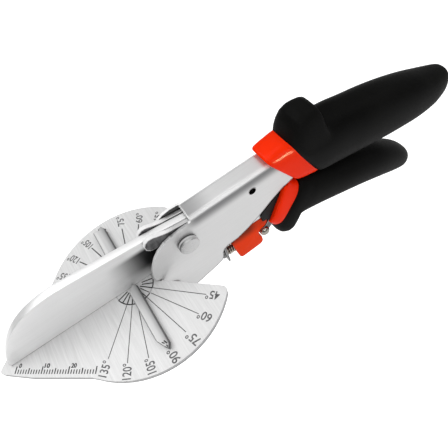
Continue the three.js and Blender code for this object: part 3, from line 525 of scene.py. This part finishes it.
def loft_loops(rings, seg, steps):
    """superellipse rings (columns as in the handle tables) to loops of points"""
    loops = []
    for top_x, top_z, bottom_x, bottom_z, half_width, squareness in catmull(rings, steps):
        half = math.hypot(top_x - bottom_x, top_z - bottom_z) / 2
        up_x, up_z = (top_x - bottom_x) / 2 / half, (top_z - bottom_z) / 2 / half
        mid_x, mid_z = (top_x + bottom_x) / 2, (top_z + bottom_z) / 2
        power = 2 / squareness
        loop = []
        for c, s in circle(seg):
            y = math.copysign(abs(c) ** power, c) * half_width
            rise = math.copysign(abs(s) ** power, s) * half
            loop.append((mid_x + up_x * rise, y, mid_z + up_z * rise))
        loops.append(loop)
    return loops


def skin(loops):
    """closed skin over loops in mm, each end fanned to its middle"""
    verts, faces = [], []
    seg = len(loops[0])
    for loop in loops:
        verts += [(x * MM, y * MM, z * MM) for x, y, z in loop]
    for i in range(len(loops) - 1):
        for k in range(seg):
            a, b = i * seg + k, i * seg + (k + 1) % seg
            faces.append((a, b, b + seg, a + seg))
    for i in (0, len(loops) - 1):
        middle = len(verts)
        verts.append(tuple(np.mean(np.array(loops[i]), axis=0) * MM))
        for k in range(seg):
            faces.append((middle, i * seg + k, i * seg + (k + 1) % seg))
    return verts, faces


def shrink(loop, scale, shift):
    centre = np.mean(np.array(loop), axis=0)
    return [tuple(centre + (np.array(p) - centre) * scale + np.array(shift)) for p in loop]


def wire(points, radius, seg=12):
    """round wire along a smooth path in mm, its ends rounded off"""
    points = np.asarray(points, float)
    tangents = np.gradient(points, axis=0)
    tangents /= np.linalg.norm(tangents, axis=1)[:, None]
    start, end = tangents[0], tangents[-1]
    reference = np.array([0.0, 0.0, 1.0]) if abs(start[2]) < 0.9 else np.array([1.0, 0, 0])
    side = np.cross(start, reference)
    side /= np.linalg.norm(side)
    loops = []
    for point, tangent in zip(points, tangents):
        side = side - tangent * (side @ tangent)
        side /= np.linalg.norm(side)
        across = np.cross(tangent, side)
        loops.append([tuple(point + radius * (c * side + s * across)) for c, s in circle(seg)])
    first = [shrink(loops[0], 0.55, -start * radius * 0.35),
             shrink(loops[0], 0.88, -start * radius * 0.15)]
    last = [shrink(loops[-1], 0.88, end * radius * 0.15),
            shrink(loops[-1], 0.55, end * radius * 0.35)]
    return skin(first + loops + last)


def turned_y(profile, x, z, seg):
    """profile of (radius, y) turned about the line along Y through (x, z)"""
    return skin([[(x + r * c, y, z + r * s) for c, s in circle(seg)] for r, y in profile])


def turned_x(profile, seg=48):
    """profile of (radius, x) turned about the latch's axis"""
    return skin([[(x, r * c, LATCH_AXIS_Z + r * s) for c, s in circle(seg)] for r, x in profile])


def prism(name, outline, half_width, material, bevel=0.0):
    """XZ outline extruded to +-half_width in Y, its rims rounded by `bevel`, mm"""
    work = bmesh.new()
    far, near = [[work.verts.new((x * MM, y * MM, z * MM)) for x, z in outline]
                 for y in (-half_width, half_width)]
    count = len(outline)
    work.faces.new(far)
    work.faces.new(list(reversed(near)))
    for i in range(count):
        j = (i + 1) % count
        work.faces.new((far[i], near[i], near[j], far[j]))
    bmesh.ops.recalc_face_normals(work, faces=work.faces)
    if bevel:
        rims = [e for e in work.edges if e.verts[0].co.y == e.verts[1].co.y]
        bmesh.ops.bevel(work, geom=rims, offset=bevel * MM, segments=4, profile=0.5,
                        affect="EDGES", clamp_overlap=True)
    bmesh.ops.remove_doubles(work, verts=work.verts, dist=1e-7)
    mesh = bpy.data.meshes.new(name)
    work.to_mesh(mesh)
    work.free()
    mesh.materials.append(material)
    mesh.polygons.foreach_set("use_smooth", [True] * len(mesh.polygons))
    mesh.set_sharp_from_angle(angle=math.radians(38))
    return add_object(name, mesh)


def cut(piece, cutter):
    """takes the cutter out of the piece and removes the cutter"""
    modifier = piece.modifiers.new("cut", "BOOLEAN")
    modifier.operation = "DIFFERENCE"
    modifier.solver = "EXACT"
    modifier.object = cutter
    bpy.context.view_layer.update()
    depsgraph = bpy.context.evaluated_depsgraph_get()
    mesh = bpy.data.meshes.new_from_object(piece.evaluated_get(depsgraph))
    piece.modifiers.clear()
    piece.data = mesh
    work = bmesh.new()
    work.from_mesh(mesh)
    bmesh.ops.remove_doubles(work, verts=work.verts, dist=2e-7)
    loose = [v for v in work.verts if not v.link_faces]
    bmesh.ops.delete(work, geom=loose, context="VERTS")
    work.to_mesh(mesh)
    work.free()
    mesh.set_sharp_from_angle(angle=math.radians(38))
    bpy.data.objects.remove(cutter)


# ------------------------------------------------------------------ handles
# ring columns: top x, top z, bottom x, bottom z, half width, squareness
UPPER_SLEEVE = [
    [-60.2, 24.3, -71.6, 6.9, 5.9, 5.0], [-61.2, 25.0, -72.8, 5.9, 6.5, 4.6],
    [-65.0, 25.9, -77.0, 4.6, 7.0, 4.0], [-69.6, 26.6, -81.2, 3.9, 7.4, 3.6],
    [-74.0, 26.2, -85.0, 4.3, 7.2, 3.4],
]
UPPER_GRIP = [
    [-69.6, 26.5, -81.4, 4.2, 7.6, 3.3], [-70.2, 27.2, -82.0, 3.7, 8.3, 3.1],
    [-71.4, 27.6, -83.2, 3.1, 8.8, 2.9], [-74.6, 27.6, -85.2, 2.4, 9.1, 2.7],
    [-79.0, 27.4, -87.8, 1.6, 9.2, 2.5], [-84.0, 27.2, -90.8, 0.9, 9.2, 2.4],
    [-88.6, 26.8, -93.6, 0.3, 9.2, 2.4], [-93.0, 26.2, -96.4, -0.1, 9.2, 2.4],
    [-100.0, 24.8, -101.4, -1.0, 9.4, 2.3], [-110.0, 22.8, -111.0, -2.5, 9.5, 2.3],
    [-120.0, 20.2, -121.0, -3.6, 9.4, 2.3], [-130.0, 17.0, -131.0, -4.3, 9.0, 2.3],
    [-139.0, 13.7, -139.6, -3.9, 8.0, 2.3], [-144.4, 11.9, -144.8, -2.7, 6.7, 2.3],
    [-147.3, 10.9, -148.1, -1.1, 5.5, 2.4], [-148.9, 10.2, -149.9, 0.8, 4.2, 2.4],
    [-149.8, 8.9, -150.5, 2.6, 2.8, 2.3],
]
LOWER_SLEEVE = [
    [-65.6, 6.6, -57.2, -9.4, 5.6, 5.0], [-66.4, 7.6, -57.4, -10.4, 6.1, 4.6],
    [-67.9, 7.4, -58.0, -12.0, 6.4, 4.0], [-70.4, 5.0, -59.0, -13.8, 6.5, 3.6],
    [-74.4, 2.2, -60.8, -15.0, 6.4, 3.4], [-77.4, -0.6, -65.6, -15.4, 6.2, 3.2],
]
LOWER_GRIP = [
    [-74.0, 4.0, -59.6, -14.4, 6.6, 3.3], [-74.9, 3.9, -60.2, -14.9, 7.3, 3.1],
    [-76.3, 3.5, -61.4, -15.3, 7.8, 2.9], [-77.8, 3.0, -63.4, -15.5, 8.1, 2.7],
    [-80.2, 2.1, -66.0, -15.6, 8.3, 2.5], [-83.0, 1.1, -70.0, -15.8, 8.5, 2.4],
    [-86.4, -0.2, -75.0, -16.5, 8.6, 2.4], [-90.4, -1.8, -82.0, -18.0, 8.7, 2.4],
    [-97.0, -4.0, -91.0, -20.6, 8.8, 2.3], [-107.0, -7.2, -103.5, -24.4, 8.7, 2.3],
    [-117.0, -11.4, -115.0, -28.6, 8.4, 2.3], [-125.6, -16.8, -124.6, -32.4, 7.6, 2.4],
    [-131.4, -21.6, -130.8, -34.6, 6.5, 2.4], [-134.6, -25.4, -134.2, -34.6, 4.8, 2.3],
    [-135.9, -28.2, -135.8, -32.9, 2.6, 2.1],
]
# guard humps: (x, height)
THUMB_HUMP = [
    (-69.5, 0.0), (-70.0, 1.8), (-70.9, 4.3), (-72.2, 6.5), (-74.4, 7.7), (-77.0, 7.9),
    (-79.4, 7.7), (-81.0, 7.0), (-82.1, 5.4), (-82.9, 3.2), (-83.6, 1.3), (-84.9, 0.3),
    (-87.0, 0.0),
]
FINGER_HUMP = [
    (-59.5, 0.0), (-59.9, 2.6), (-60.4, 4.8), (-61.4, 6.6), (-62.8, 7.5), (-64.0, 7.2),
    (-64.9, 5.6), (-65.6, 3.2), (-66.4, 1.2), (-67.8, 0.3), (-70.0, 0.0),
]
# sign: 1 top, -1 bottom; start, full: where up the side it begins and is whole; lean: x per height
THUMB_GUARD = dict(hump=THUMB_HUMP, sign=1, start=0.46, full=0.98, lean=-0.20)
FINGER_GUARD = dict(hump=FINGER_HUMP, sign=-1, start=0.0, full=0.75, lean=0.0)

# rooms cut out of the handles: XZ outline, half width
CHEEK_ROOM = ([
    (-50, -6.0), (-53.4, -1.4), (-59.9, 2.9), (-64.2, 5.2), (-72.0, 8.2), (-80.0, 9.6),
    (-80, 30), (-50, 30),
], 4.9)
LEVER_ROOM = ([
    (-54.0, -1.6), (-59.6, 2.0), (-66.4, 3.0), (-78.4, -4.0), (-104.0, -12.6), (-119.3, -20.2),
    (-119.3, -26.1), (-104.0, -21.2), (-74.0, -13.8), (-60.0, -12.6), (-54.0, -17.2),
], 3.55)
BODY_ROOM = ([
    (-50, 22.7), (-61.0, 22.3), (-75.0, 19.9), (-100.0, 14.9), (-136.3, 6.3), (-136.3, -0.3),
    (-100.0, 7.9), (-82.0, 10.3), (-72.0, 8.7), (-64.0, 5.3), (-50, -0.3),
], 4.9)


def add_guard(loops, hump, sign, start, full, lean):
    """raises the top or the bottom of each loop by the hump, softly round the sides"""
    xs, heights = zip(*sorted(hump))
    out = []
    for loop in loops:
        points = np.array(loop, float)
        top, bottom = points[len(points) // 4], points[3 * len(points) // 4]
        axis = top - bottom
        half = np.linalg.norm(axis) / 2
        axis /= 2 * half
        level = ((points - (top + bottom) / 2) @ axis) / half * sign
        weight = np.clip((level - start) / (full - start), 0, 1)
        weight = weight * weight * (3 - 2 * weight)
        crest_x = (top if sign > 0 else bottom)[0]
        height = np.interp(crest_x, xs, heights, left=0.0, right=0.0)
        raised = points + np.outer(weight * height * sign, np.array([lean, 0, 1.0]))
        out.append([tuple(p) for p in raised])
    return out


def handle(name, rings, material, body, node, slot, rooms, lip, end, guard=None):
    """lofted handle part; lip rounds its first end, `end` is the way its last end bulges"""
    loops = loft_loops(rings, seg=96, steps=10)
    if guard:
        loops = add_guard(loops, **guard)
    forward = np.mean(np.array(loops[0]), 0) - np.mean(np.array(loops[3]), 0)
    forward /= np.linalg.norm(forward)
    end = np.array(end, float)
    end /= np.linalg.norm(end)
    front = [shrink(loops[0], scale, forward * lip * reach)
             for scale, reach in ((0.90, 0.55), (0.955, 0.5), (0.985, 0.3))]
    back = [shrink(loops[-1], scale, end * reach)
            for scale, reach in ((0.82, 0.28), (0.58, 0.5), (0.3, 0.62))]
    piece = make_object(name, skin(front + loops + back), material)
    for outline, half_width in rooms:
        cut(piece, prism("tool_tmp", outline, half_width, material))
    assign(piece, body, node)
    return piece


GRIP = dict(material=grip_black, slot="black_grip", lip=0.6, end=(-1, 0, -0.25))
BAND = dict(material=orange, slot="orange_plastic", lip=0.3, end=(-1, 0, 0))
handle("upper_grip_skin", UPPER_GRIP, body="frame", node="upper_grip", rooms=[BODY_ROOM],
       guard=THUMB_GUARD, **GRIP)
handle("lower_grip_skin", LOWER_GRIP, body="lever", node="lower_grip", rooms=[LEVER_ROOM],
       guard=FINGER_GUARD, **GRIP)
upper_band = handle("upper_band", UPPER_SLEEVE, body="frame", node="upper_sleeve",
                    rooms=[BODY_ROOM], **BAND)
handle("lower_band", LOWER_SLEEVE, body="lever", node="lower_sleeve",
       rooms=[LEVER_ROOM, CHEEK_ROOM], **BAND)

# ------------------------------------------------------------------ latch
# XZ outline of the slider
LATCH_SIDE = [
    (-41.0, -5.4), (-40.9, -7.8), (-39.8, -9.2), (-39.9, -10.2), (-41.3, -20.8), (-41.9, -22.0),
    (-43.0, -22.4), (-51.5, -21.7), (-52.7, -21.1), (-53.2, -20.0), (-53.1, -17.4),
    (-52.4, -16.2), (-52.1, -15.2), (-52.0, -14.1), (-52.3, -12.9), (-53.0, -12.0),
    (-54.3, -11.4), (-55.3, -11.1), (-56.1, -10.3), (-56.7, -9.2), (-56.9, -7.0), (-56.7, -5.6),
    (-56.3, -5.1), (-55.2, -5.0), (-47.0, -5.0), (-41.6, -5.0),
]
latch = prism("latch_block", LATCH_SIDE, half_width=3.4, material=latch_orange, bevel=0.35)
cut(latch, make_object("bore_tmp", turned_x([(2.6, -43.4), (2.6, -30.0)]), latch_orange))
assign(latch, "latch", "latch_slider")


def latch_coil(radius=1.85, turns=3.5, front_x=-37.45, back_x=-40.9, steps=140):
    points = []
    for k in range(steps + 1):
        t = k / steps
        turn = t * 2 * math.pi * turns
        points.append((front_x + (back_x - front_x) * t, radius * math.cos(turn),
                       LATCH_AXIS_Z + radius * math.sin(turn)))
    return wire(points, radius=0.36)


make_object("latch_coil", latch_coil(), spring_steel, "lever", "latch_spring")

# headed pin inside the latch spring: (radius, x)
GUIDE_PIN = [(0.01, -34.3), (1.4, -34.3), (2.1, -34.7), (2.35, -35.3), (2.35, -36.15),
             (1.3, -36.2), (1.3, -40.3), (1.1, -40.7), (0.01, -40.8)]
make_object("latch_guide_pin", turned_x(GUIDE_PIN), dark_steel, "lever", angle=40)


def handle_spring(x=-47.5, z=0.8, radius=2.35, half_width=1.25):
    """a coil about Y at (x, z) with one straight leg up and one back along the lever"""
    start, end = math.radians(150), math.radians(90 + 3 * 360)
    start_x, start_z = x + radius * math.cos(start), z + radius * math.sin(start)
    points = [(start_x + 0.5 * t, -half_width, start_z + 0.866 * t)
              for t in np.linspace(17, 0.6, 12)]
    for k in range(150):
        t = k / 149
        turn = start + (end - start) * t
        y = -half_width + (half_width + half_width) * t
        points.append((x + radius * math.cos(turn), y, z + radius * math.sin(turn)))
    leg = [(x, z + radius), (-50.6, 3.3), (-55.0, 3.7), (-60.0, 4.5), (-64.2, 5.6)]
    points += list(catmull([(leg_x, half_width, leg_z) for leg_x, leg_z in leg], 6)[1:])
    return wire(points, radius=0.42)


make_object("handle_spring", handle_spring(), spring_steel, "lever", "main_spring")

# latch pin: a flat head on the far side, a domed one on the near side; (radius, y)
STUD_RADIUS = 2.1
stud = [(0.01, -4.1), (1.75, -4.1), (2.0, -4.0), (STUD_RADIUS, -3.85), (STUD_RADIUS, -3.35),
        (1.5, -3.3), (1.5, 3.3), (STUD_RADIUS, 3.32)]
for k in range(13):
    turn = math.radians(90 * k / 12)
    stud.append((STUD_RADIUS * math.cos(turn) + 0.001, 3.5 + 1.7 * math.sin(turn)))
make_object("latch_stud", turned_y(stud, x=-54.7, z=-14.1, seg=64), pin_steel,
            "lever", "latch_pin", angle=45)

# pivot bolt: a flat near head with an eased rim; (radius, y)
SEAT_Y = 4.6  # where the head starts, from the middle plane
HEAD_THICK, HEAD_RADIUS, HEAD_EASE = 2.5, 3.8, 0.6
bolt = [
    (0.01, -SEAT_Y - 1.2), (1.9, -SEAT_Y - 1.2), (2.0, -SEAT_Y - 1.1), (2.0, -SEAT_Y - 0.02),
    (2.98, -SEAT_Y), (2.98, SEAT_Y + 0.02), (3.74, SEAT_Y + 0.02), (HEAD_RADIUS, SEAT_Y + 0.10),
    (HEAD_RADIUS, SEAT_Y + HEAD_THICK - 0.75),
]
for k in range(9):
    turn = math.radians(90 * k / 8)
    bolt.append((HEAD_RADIUS - HEAD_EASE + HEAD_EASE * math.cos(turn),
                 SEAT_Y + HEAD_THICK - HEAD_EASE + HEAD_EASE * math.sin(turn)))
bolt += [(2.2, SEAT_Y + HEAD_THICK), (0.01, SEAT_Y + HEAD_THICK)]
make_object("pivot_head", turned_y(bolt, x=PIVOT_X, z=PIVOT_Z, seg=96), bolt_steel,
            "frame", "pivot_bolt", angle=35)

# ------------------------------------------------------------------ blade
EDGE_Z, TOP_Z = 0.06, 23.5
TIP_X, HEEL_X = 49.3, -8.4  # ends of the straight cutting edge
EDGE_HALF, TOP_HALF = 0.12, 1.68  # half thicknesses
# (x, z) along the spine from the tip back, then down round the tail to the heel
SPINE = [
    (49.6, 0.9), (48.6, 3.6), (47.0, 6.8), (44.7, 10.3), (42.1, 13.6), (39.4, 16.4), (36.4, 18.8),
    (32.6, 20.9), (29.4, 22.1), (25.6, 23.0), (20.4, 23.5), (13.6, 23.1), (6.6, 22.5),
    (-0.5, 21.85), (-7.8, 21.15), (-14.0, 20.55), (-21.0, 19.75), (-29.5, 18.6),
]
TAIL = [
    (-32.6, 16.4), (-33.6, 12.0), (-33.0, 6.4), (-30.4, 3.2), (-26.0, 1.2), (-20.0, 0.6),
    (-14.4, 1.9), (-10.2, 1.6), (-8.8, 0.5), (HEEL_X, EDGE_Z),
]
# (radius, x, z)
BLADE_BORES = [(3.98, PIVOT_X, PIVOT_Z), (1.3, -14.8, 9.2), (1.3, -31.0, 6.9)]


def blade_half(z):
    return EDGE_HALF + (TOP_HALF - EDGE_HALF) * (z - EDGE_Z) / (TOP_Z - EDGE_Z)


def blade_shape(ease_steps=4):
    """one flat grind a side, with eased edges"""
    edge = [(x, EDGE_Z) for x in np.linspace(HEEL_X, TIP_X, 40)[1:-1]]
    outline = np.array([(TIP_X, EDGE_Z), *catmull(SPINE, 7), *catmull(TAIL, 4), *edge], float)
    count = len(outline)
    tangents = np.roll(outline, -1, 0) - np.roll(outline, 1, 0)
    tangents /= np.linalg.norm(tangents, axis=1)[:, None]
    # the outline has its inside on the left
    inward = np.stack([-tangents[:, 1], tangents[:, 0]], 1)
    ease = np.clip(blade_half(outline[:, 1]) * 0.5, 0.02, 0.26)
    steps = range(ease_steps + 1)
    verts = []
    for side, k in [(-1, k) for k in reversed(steps)] + [(1, k) for k in steps]:
        turn = math.radians(90 * k / ease_steps)
        points = outline + inward * (ease * (1 - math.cos(turn)))[:, None]
        points[:, 1] = np.maximum(points[:, 1], EDGE_Z)
        half = blade_half(points[:, 1]) - ease * (1 - math.sin(turn))
        verts += [(x * MM, side * y * MM, z * MM) for (x, z), y in zip(points, half)]
    faces = []
    last = len(verts) - count
    for row in range(0, last, count):
        for i in range(count):
            j = (i + 1) % count
            faces.append((row + i, row + j, row + count + j, row + count + i))
    faces.append(tuple(range(count)))
    faces.append(tuple(reversed(range(last, len(verts)))))
    return verts, faces


blade = make_object("blade_ground", blade_shape(), blade_steel, angle=50)
for radius, x, z in BLADE_BORES:
    bore = turned_y([(radius, -6.0), (radius, 6.0)], x, z, seg=48)
    cut(blade, make_object("bore_tmp", bore, blade_steel))
for polygon in blade.data.polygons:
    if abs(polygon.normal.y) > 0.995:
        polygon.use_smooth = False
assign(blade, "lever", "blade")

# ------------------------------------------------------------------ engraving
MARK_BOTTOM, MARK_TOP = -0.012, 0.022  # marks stand just proud of the plate's top at z = 0
ANGLES = [45, 60, 75, 90, 105, 120, 135]
SIDES = (("near", 1), ("far", -1))
RULER_ANGLE = math.radians(35.4)
RULER_OFFSET, RULER_START = 31.35, -38.0  # out from the centre, and along to the zero tick
ruler_out = np.array([math.sin(RULER_ANGLE), math.cos(RULER_ANGLE)])
ruler_along = np.array([-math.cos(RULER_ANGLE), math.sin(RULER_ANGLE)])


def ray(degrees, side):
    """direction in XY, measured from -X towards the side"""
    angle = math.radians(degrees)
    return np.array([-math.cos(angle), side * math.sin(angle)])


def strip(start, end, width, bottom=MARK_BOTTOM, top=MARK_TOP):
    """a thin closed bar between two XY points"""
    start, end = np.array(start, float), np.array(end, float)
    along = (end - start) / np.linalg.norm(end - start)
    across = np.array([-along[1], along[0]]) * width / 2
    corners = [start - across, end - across, end + across, start + across]
    verts = [(x * MM, y * MM, z * MM) for z in (bottom, top) for x, y in corners]
    return verts, [(3, 2, 1, 0), (4, 5, 6, 7), (0, 1, 5, 4), (1, 2, 6, 5), (2, 3, 7, 6),
                   (3, 0, 4, 7)]


def ring_arc(radius, width, start, end, step=3):
    """closed flat bar bent round the centre, angles in degrees"""
    count = max(2, int(abs(end - start) / step) + 1)
    inner, outer = radius - width / 2, radius + width / 2
    section = ((inner, MARK_BOTTOM), (outer, MARK_BOTTOM), (outer, MARK_TOP), (inner, MARK_TOP))
    verts, faces = [], []
    for k in range(count):
        angle = math.radians(start + (end - start) * k / (count - 1))
        verts += [(r * math.cos(angle) * MM, r * math.sin(angle) * MM, z * MM) for r, z in section]
    for a in range(0, 4 * (count - 1), 4):
        for i in range(4):
            j = (i + 1) % 4
            faces.append((a + i, a + 4 + i, a + 4 + j, a + j))
    faces.append((0, 1, 2, 3))
    faces.append(tuple(reversed([4 * (count - 1) + i for i in range(4)])))
    return verts, faces


def marks(name, parts, material, body="frame"):
    verts, faces = [], []
    for part_verts, part_faces in parts:
        offset = len(verts)
        verts += part_verts
        faces += [tuple(i + offset for i in face) for face in part_faces]
    mesh = bpy.data.meshes.new(name)
    mesh.from_pydata(verts, [], faces)
    mesh.materials.append(material)
    add_object(name, mesh, body)


def label(name, text, centre, direction, height, length, weight, material):
    """numerals laid flat: height across the line of writing, length along it"""
    curve = bpy.data.curves.new(name, "FONT")
    curve.body = text
    curve.size = 1.0
    curve.align_x, curve.align_y = "LEFT", "BOTTOM"
    curve.offset = weight
    curve.extrude = 0.5
    curve.resolution_u = 4
    writing = bpy.data.objects.new(name + "_tmp", curve)
    bpy.context.scene.collection.objects.link(writing)
    bpy.context.view_layer.update()
    depsgraph = bpy.context.evaluated_depsgraph_get()
    mesh = bpy.data.meshes.new_from_object(writing.evaluated_get(depsgraph))
    bpy.data.objects.remove(writing)
    unit = np.array([v.co for v in mesh.vertices], float)
    low, high = unit.min(0), unit.max(0)
    unit = (unit - (low + high) / 2) / (high - low)
    along = np.array(direction, float)
    along /= np.linalg.norm(along)
    across = np.array([-along[1], along[0]])
    points = np.zeros_like(unit)
    points[:, :2] = (np.outer(unit[:, 0] * length, along) + np.outer(unit[:, 1] * height, across)
                     + np.array(centre))
    points[:, 2] = (MARK_TOP + MARK_BOTTOM) / 2 + unit[:, 2] * (MARK_TOP - MARK_BOTTOM)
    mesh.vertices.foreach_set("co", (points * MM).astype(np.float32).ravel())
    merge(mesh)
    mesh.materials.clear()
    mesh.materials.append(material)
    add_object(name, mesh, "frame")


for side, sign in SIDES:
    parts = []
    for angle in ANGLES:
        if sign < 0 and angle == 90:
            continue
        near_end = 28.1 if angle != 135 else 26.9
        end, width = (near_end, 0.26) if sign > 0 else (27.0, 0.42)
        parts.append(strip(ray(angle, sign) * 7.75, ray(angle, sign) * end, width))
    marks(f"degree_lines_{side}", parts, ink_dark)
    parts = []
    for angle in range(15, 166, 15):
        if angle == 90:
            continue
        start = 3.1 if angle % 45 else 2.6
        width = 0.3 if angle in (60, 75, 105) else 0.40
        parts.append(strip(ray(angle, sign) * start, ray(angle, sign) * 7.2, width, -0.03, 0.012))
    marks(f"disc_lines_{side}", parts, ink_deep, "fence")
marks("disc_edge_line", [ring_arc(7.44, 0.42, start, end)
                         for start, end in ((162, 133), (118, 14), (346, 194))], ink_deep)

# millimetre ruler on the near edge of the nose
parts = []
for k in range(31):
    tick = 2.5 if k % 10 == 0 else (1.95 if k % 5 == 0 else 1.45)
    base = ruler_out * RULER_OFFSET + ruler_along * (RULER_START + k)
    parts.append(strip(base, base - ruler_out * tick, 0.36 if k % 5 else 0.42))
marks("ruler_ticks", parts, ink_dark)

# index marks on the tip of the near fence arm: start, end, width
FENCE_MARKS = (
    ((0.95, 26.3), (0.30, 27.2), 0.34),
    ((0.10, 26.2), (-0.45, 27.6), 0.40),
    ((0.05, 28.0), (-0.15, 28.8), 0.34),
)
marks("fence_index", [strip(*mark, 2.28, 2.33) for mark in FENCE_MARKS], ink_deep, "fence")

# inner radii of the degree numerals that stand off the common ones
NEAR_RADII, FAR_RADII = {75: 29.0, 90: 29.0, 135: 27.6}, {75: 28.6}
for side, sign in SIDES:
    for angle in ANGLES:
        three_digits = angle > 99
        length = 5.2 if three_digits else 5.0
        if sign > 0:
            inner, height = NEAR_RADII.get(angle, 28.2 if three_digits else 27.9), 3.3
        else:
            inner, height = FAR_RADII.get(angle, 27.7), 3.0
        outward = ray(angle, sign)
        label(f"degree_{side}_{angle}", f"{angle}°", outward * (inner + length / 2),
              -sign * outward, height, length, weight=0.014, material=ink_light)
# position along the ruler, offset of the numeral's middle from its tick, length
for k, offset, length in ((0, 1.25, 1.0), (10, 1.55, 2.0), (20, 1.55, 2.0)):
    centre = ruler_out * (RULER_OFFSET - 2.75) + ruler_along * (RULER_START + k + offset)
    label(f"ruler_{k}", str(k), centre, ruler_along, 1.55, length, weight=0.04, material=ink_dark)

# ------------------------------------------------------------------ floor and world, in metres
FLOOR_DROP = 0.053  # deep enough for the open lower handle
FLOOR_HALF = 1.5
# sky greys from straight down (0) to straight up (1)
SKY_ENDS = (0.30, 0.74)
SKY_STOPS = ((0.22, 0.16), (0.45, 0.26), (0.62, 0.62), (0.8, 0.74))


def floor_material():
    mat = Mat("floor", 0.75, 0.0, 0.1)
    noise = mat.noise(30, detail=2.0, rough=0.5)
    mat.set("Base Color", mat.mix(mat.ramp(noise, over=(0.3, 0.7)), grey(0.48), grey(0.50)))
    mat.set("Emission Color", grey(1))
    # glows less for everything but the camera
    camera_ray = mat.add("ShaderNodeLightPath").outputs["Is Camera Ray"]
    mat.set("Emission Strength", mat.ramp(camera_ray, to=(0.56, 1.0)))
    return mat.material


floor_z = cad_low.z - FLOOR_DROP - SHIFT.z
floor_corners = [(x * FLOOR_HALF, y * FLOOR_HALF, floor_z)
                 for x, y in ((-1, -1), (1, -1), (1, 1), (-1, 1))]
make_object("floor", (floor_corners, [(0, 1, 2, 3)]), floor_material())

world = bpy.data.worlds.new("studio")
bpy.context.scene.world = world
world.use_nodes = True
tree = world.node_tree
tree.nodes.clear()
output = tree.nodes.new("ShaderNodeOutputWorld")
background = tree.nodes.new("ShaderNodeBackground")
coordinates = tree.nodes.new("ShaderNodeTexCoord")
split = tree.nodes.new("ShaderNodeSeparateXYZ")
sky = tree.nodes.new("ShaderNodeValToRGB")
tree.links.new(coordinates.outputs["Generated"], split.inputs["Vector"])
tree.links.new(split.outputs["Z"], sky.inputs["Fac"])
for i, value in enumerate(SKY_ENDS):
    sky.color_ramp.elements[i].color = (*grey(value), 1)
for position, value in SKY_STOPS:
    sky.color_ramp.elements.new(position).color = (*grey(value), 1)
tree.links.new(sky.outputs["Color"], background.inputs["Color"])
background.inputs["Strength"].default_value = 1.0
tree.links.new(background.outputs["Background"], output.inputs["Surface"])


# ------------------------------------------------------------------ lights and camera, in metres


def area(name, at, target, size, power):
    light = bpy.data.lights.new(name, "AREA")
    light.shape = "RECTANGLE"
    light.size, light.size_y = size
    light.energy = power
    lamp = bpy.data.objects.new(name, light)
    bpy.context.scene.collection.objects.link(lamp)
    lamp.location = at
    lamp.rotation_mode = "QUATERNION"
    lamp.rotation_quaternion = (Vector(target) - Vector(at)).to_track_quat("-Z", "Y")
    return lamp


area("key", at=(0.25, -0.16, 0.60), target=(0.02, 0, 0), size=(0.55, 0.55), power=1.6)
area("fill", at=(-0.40, 0.20, 0.45), target=(0.0, 0, 0), size=(0.40, 0.25), power=0.35)
area("front", at=(0.02, 0.45, 0.34), target=(-0.01, 0, 0.01), size=(0.35, 0.20), power=0.40)
# a yellowish highlight on the upper band alone
glint = area("glint", at=(-0.071, 0.36, 0.054), target=(-0.017, 0.006, 0.024), size=(0.10, 0.12),
             power=2.9)
glint.data.color = (1.0, 0.97, 0.55)
glint.visible_diffuse = False
glint.visible_camera = False
moulded = bpy.data.collections.new("moulded")
moulded.objects.link(upper_band)
glint.light_linking.receiver_collection = moulded

# the camera's own axes
CAMERA_RIGHT = (-0.8244, 0.5303, -0.1977)
CAMERA_UP = (-0.5431, -0.643, 0.54)
CAMERA_BACK = (0.1592, 0.5526, 0.8181)
CAMERA_AT = (-0.01498 + SHIFT.x, 0.08808, 0.13146 + SHIFT.z)

lens = bpy.data.cameras.new("camera")
lens.lens, lens.sensor_width = 33.75, 36.0
lens.clip_start, lens.clip_end = 0.005, 20
camera = bpy.data.objects.new("camera", lens)
bpy.context.scene.collection.objects.link(camera)
pose = Matrix.Identity(4)
for column, axis in enumerate((CAMERA_RIGHT, CAMERA_UP, CAMERA_BACK, CAMERA_AT)):
    for row in range(3):
        pose[row][column] = axis[row]
camera.matrix_world = pose
bpy.context.scene.camera = camera
bpy.context.scene.view_settings.view_transform = "Standard"
bpy.context.scene.view_settings.look = "None"
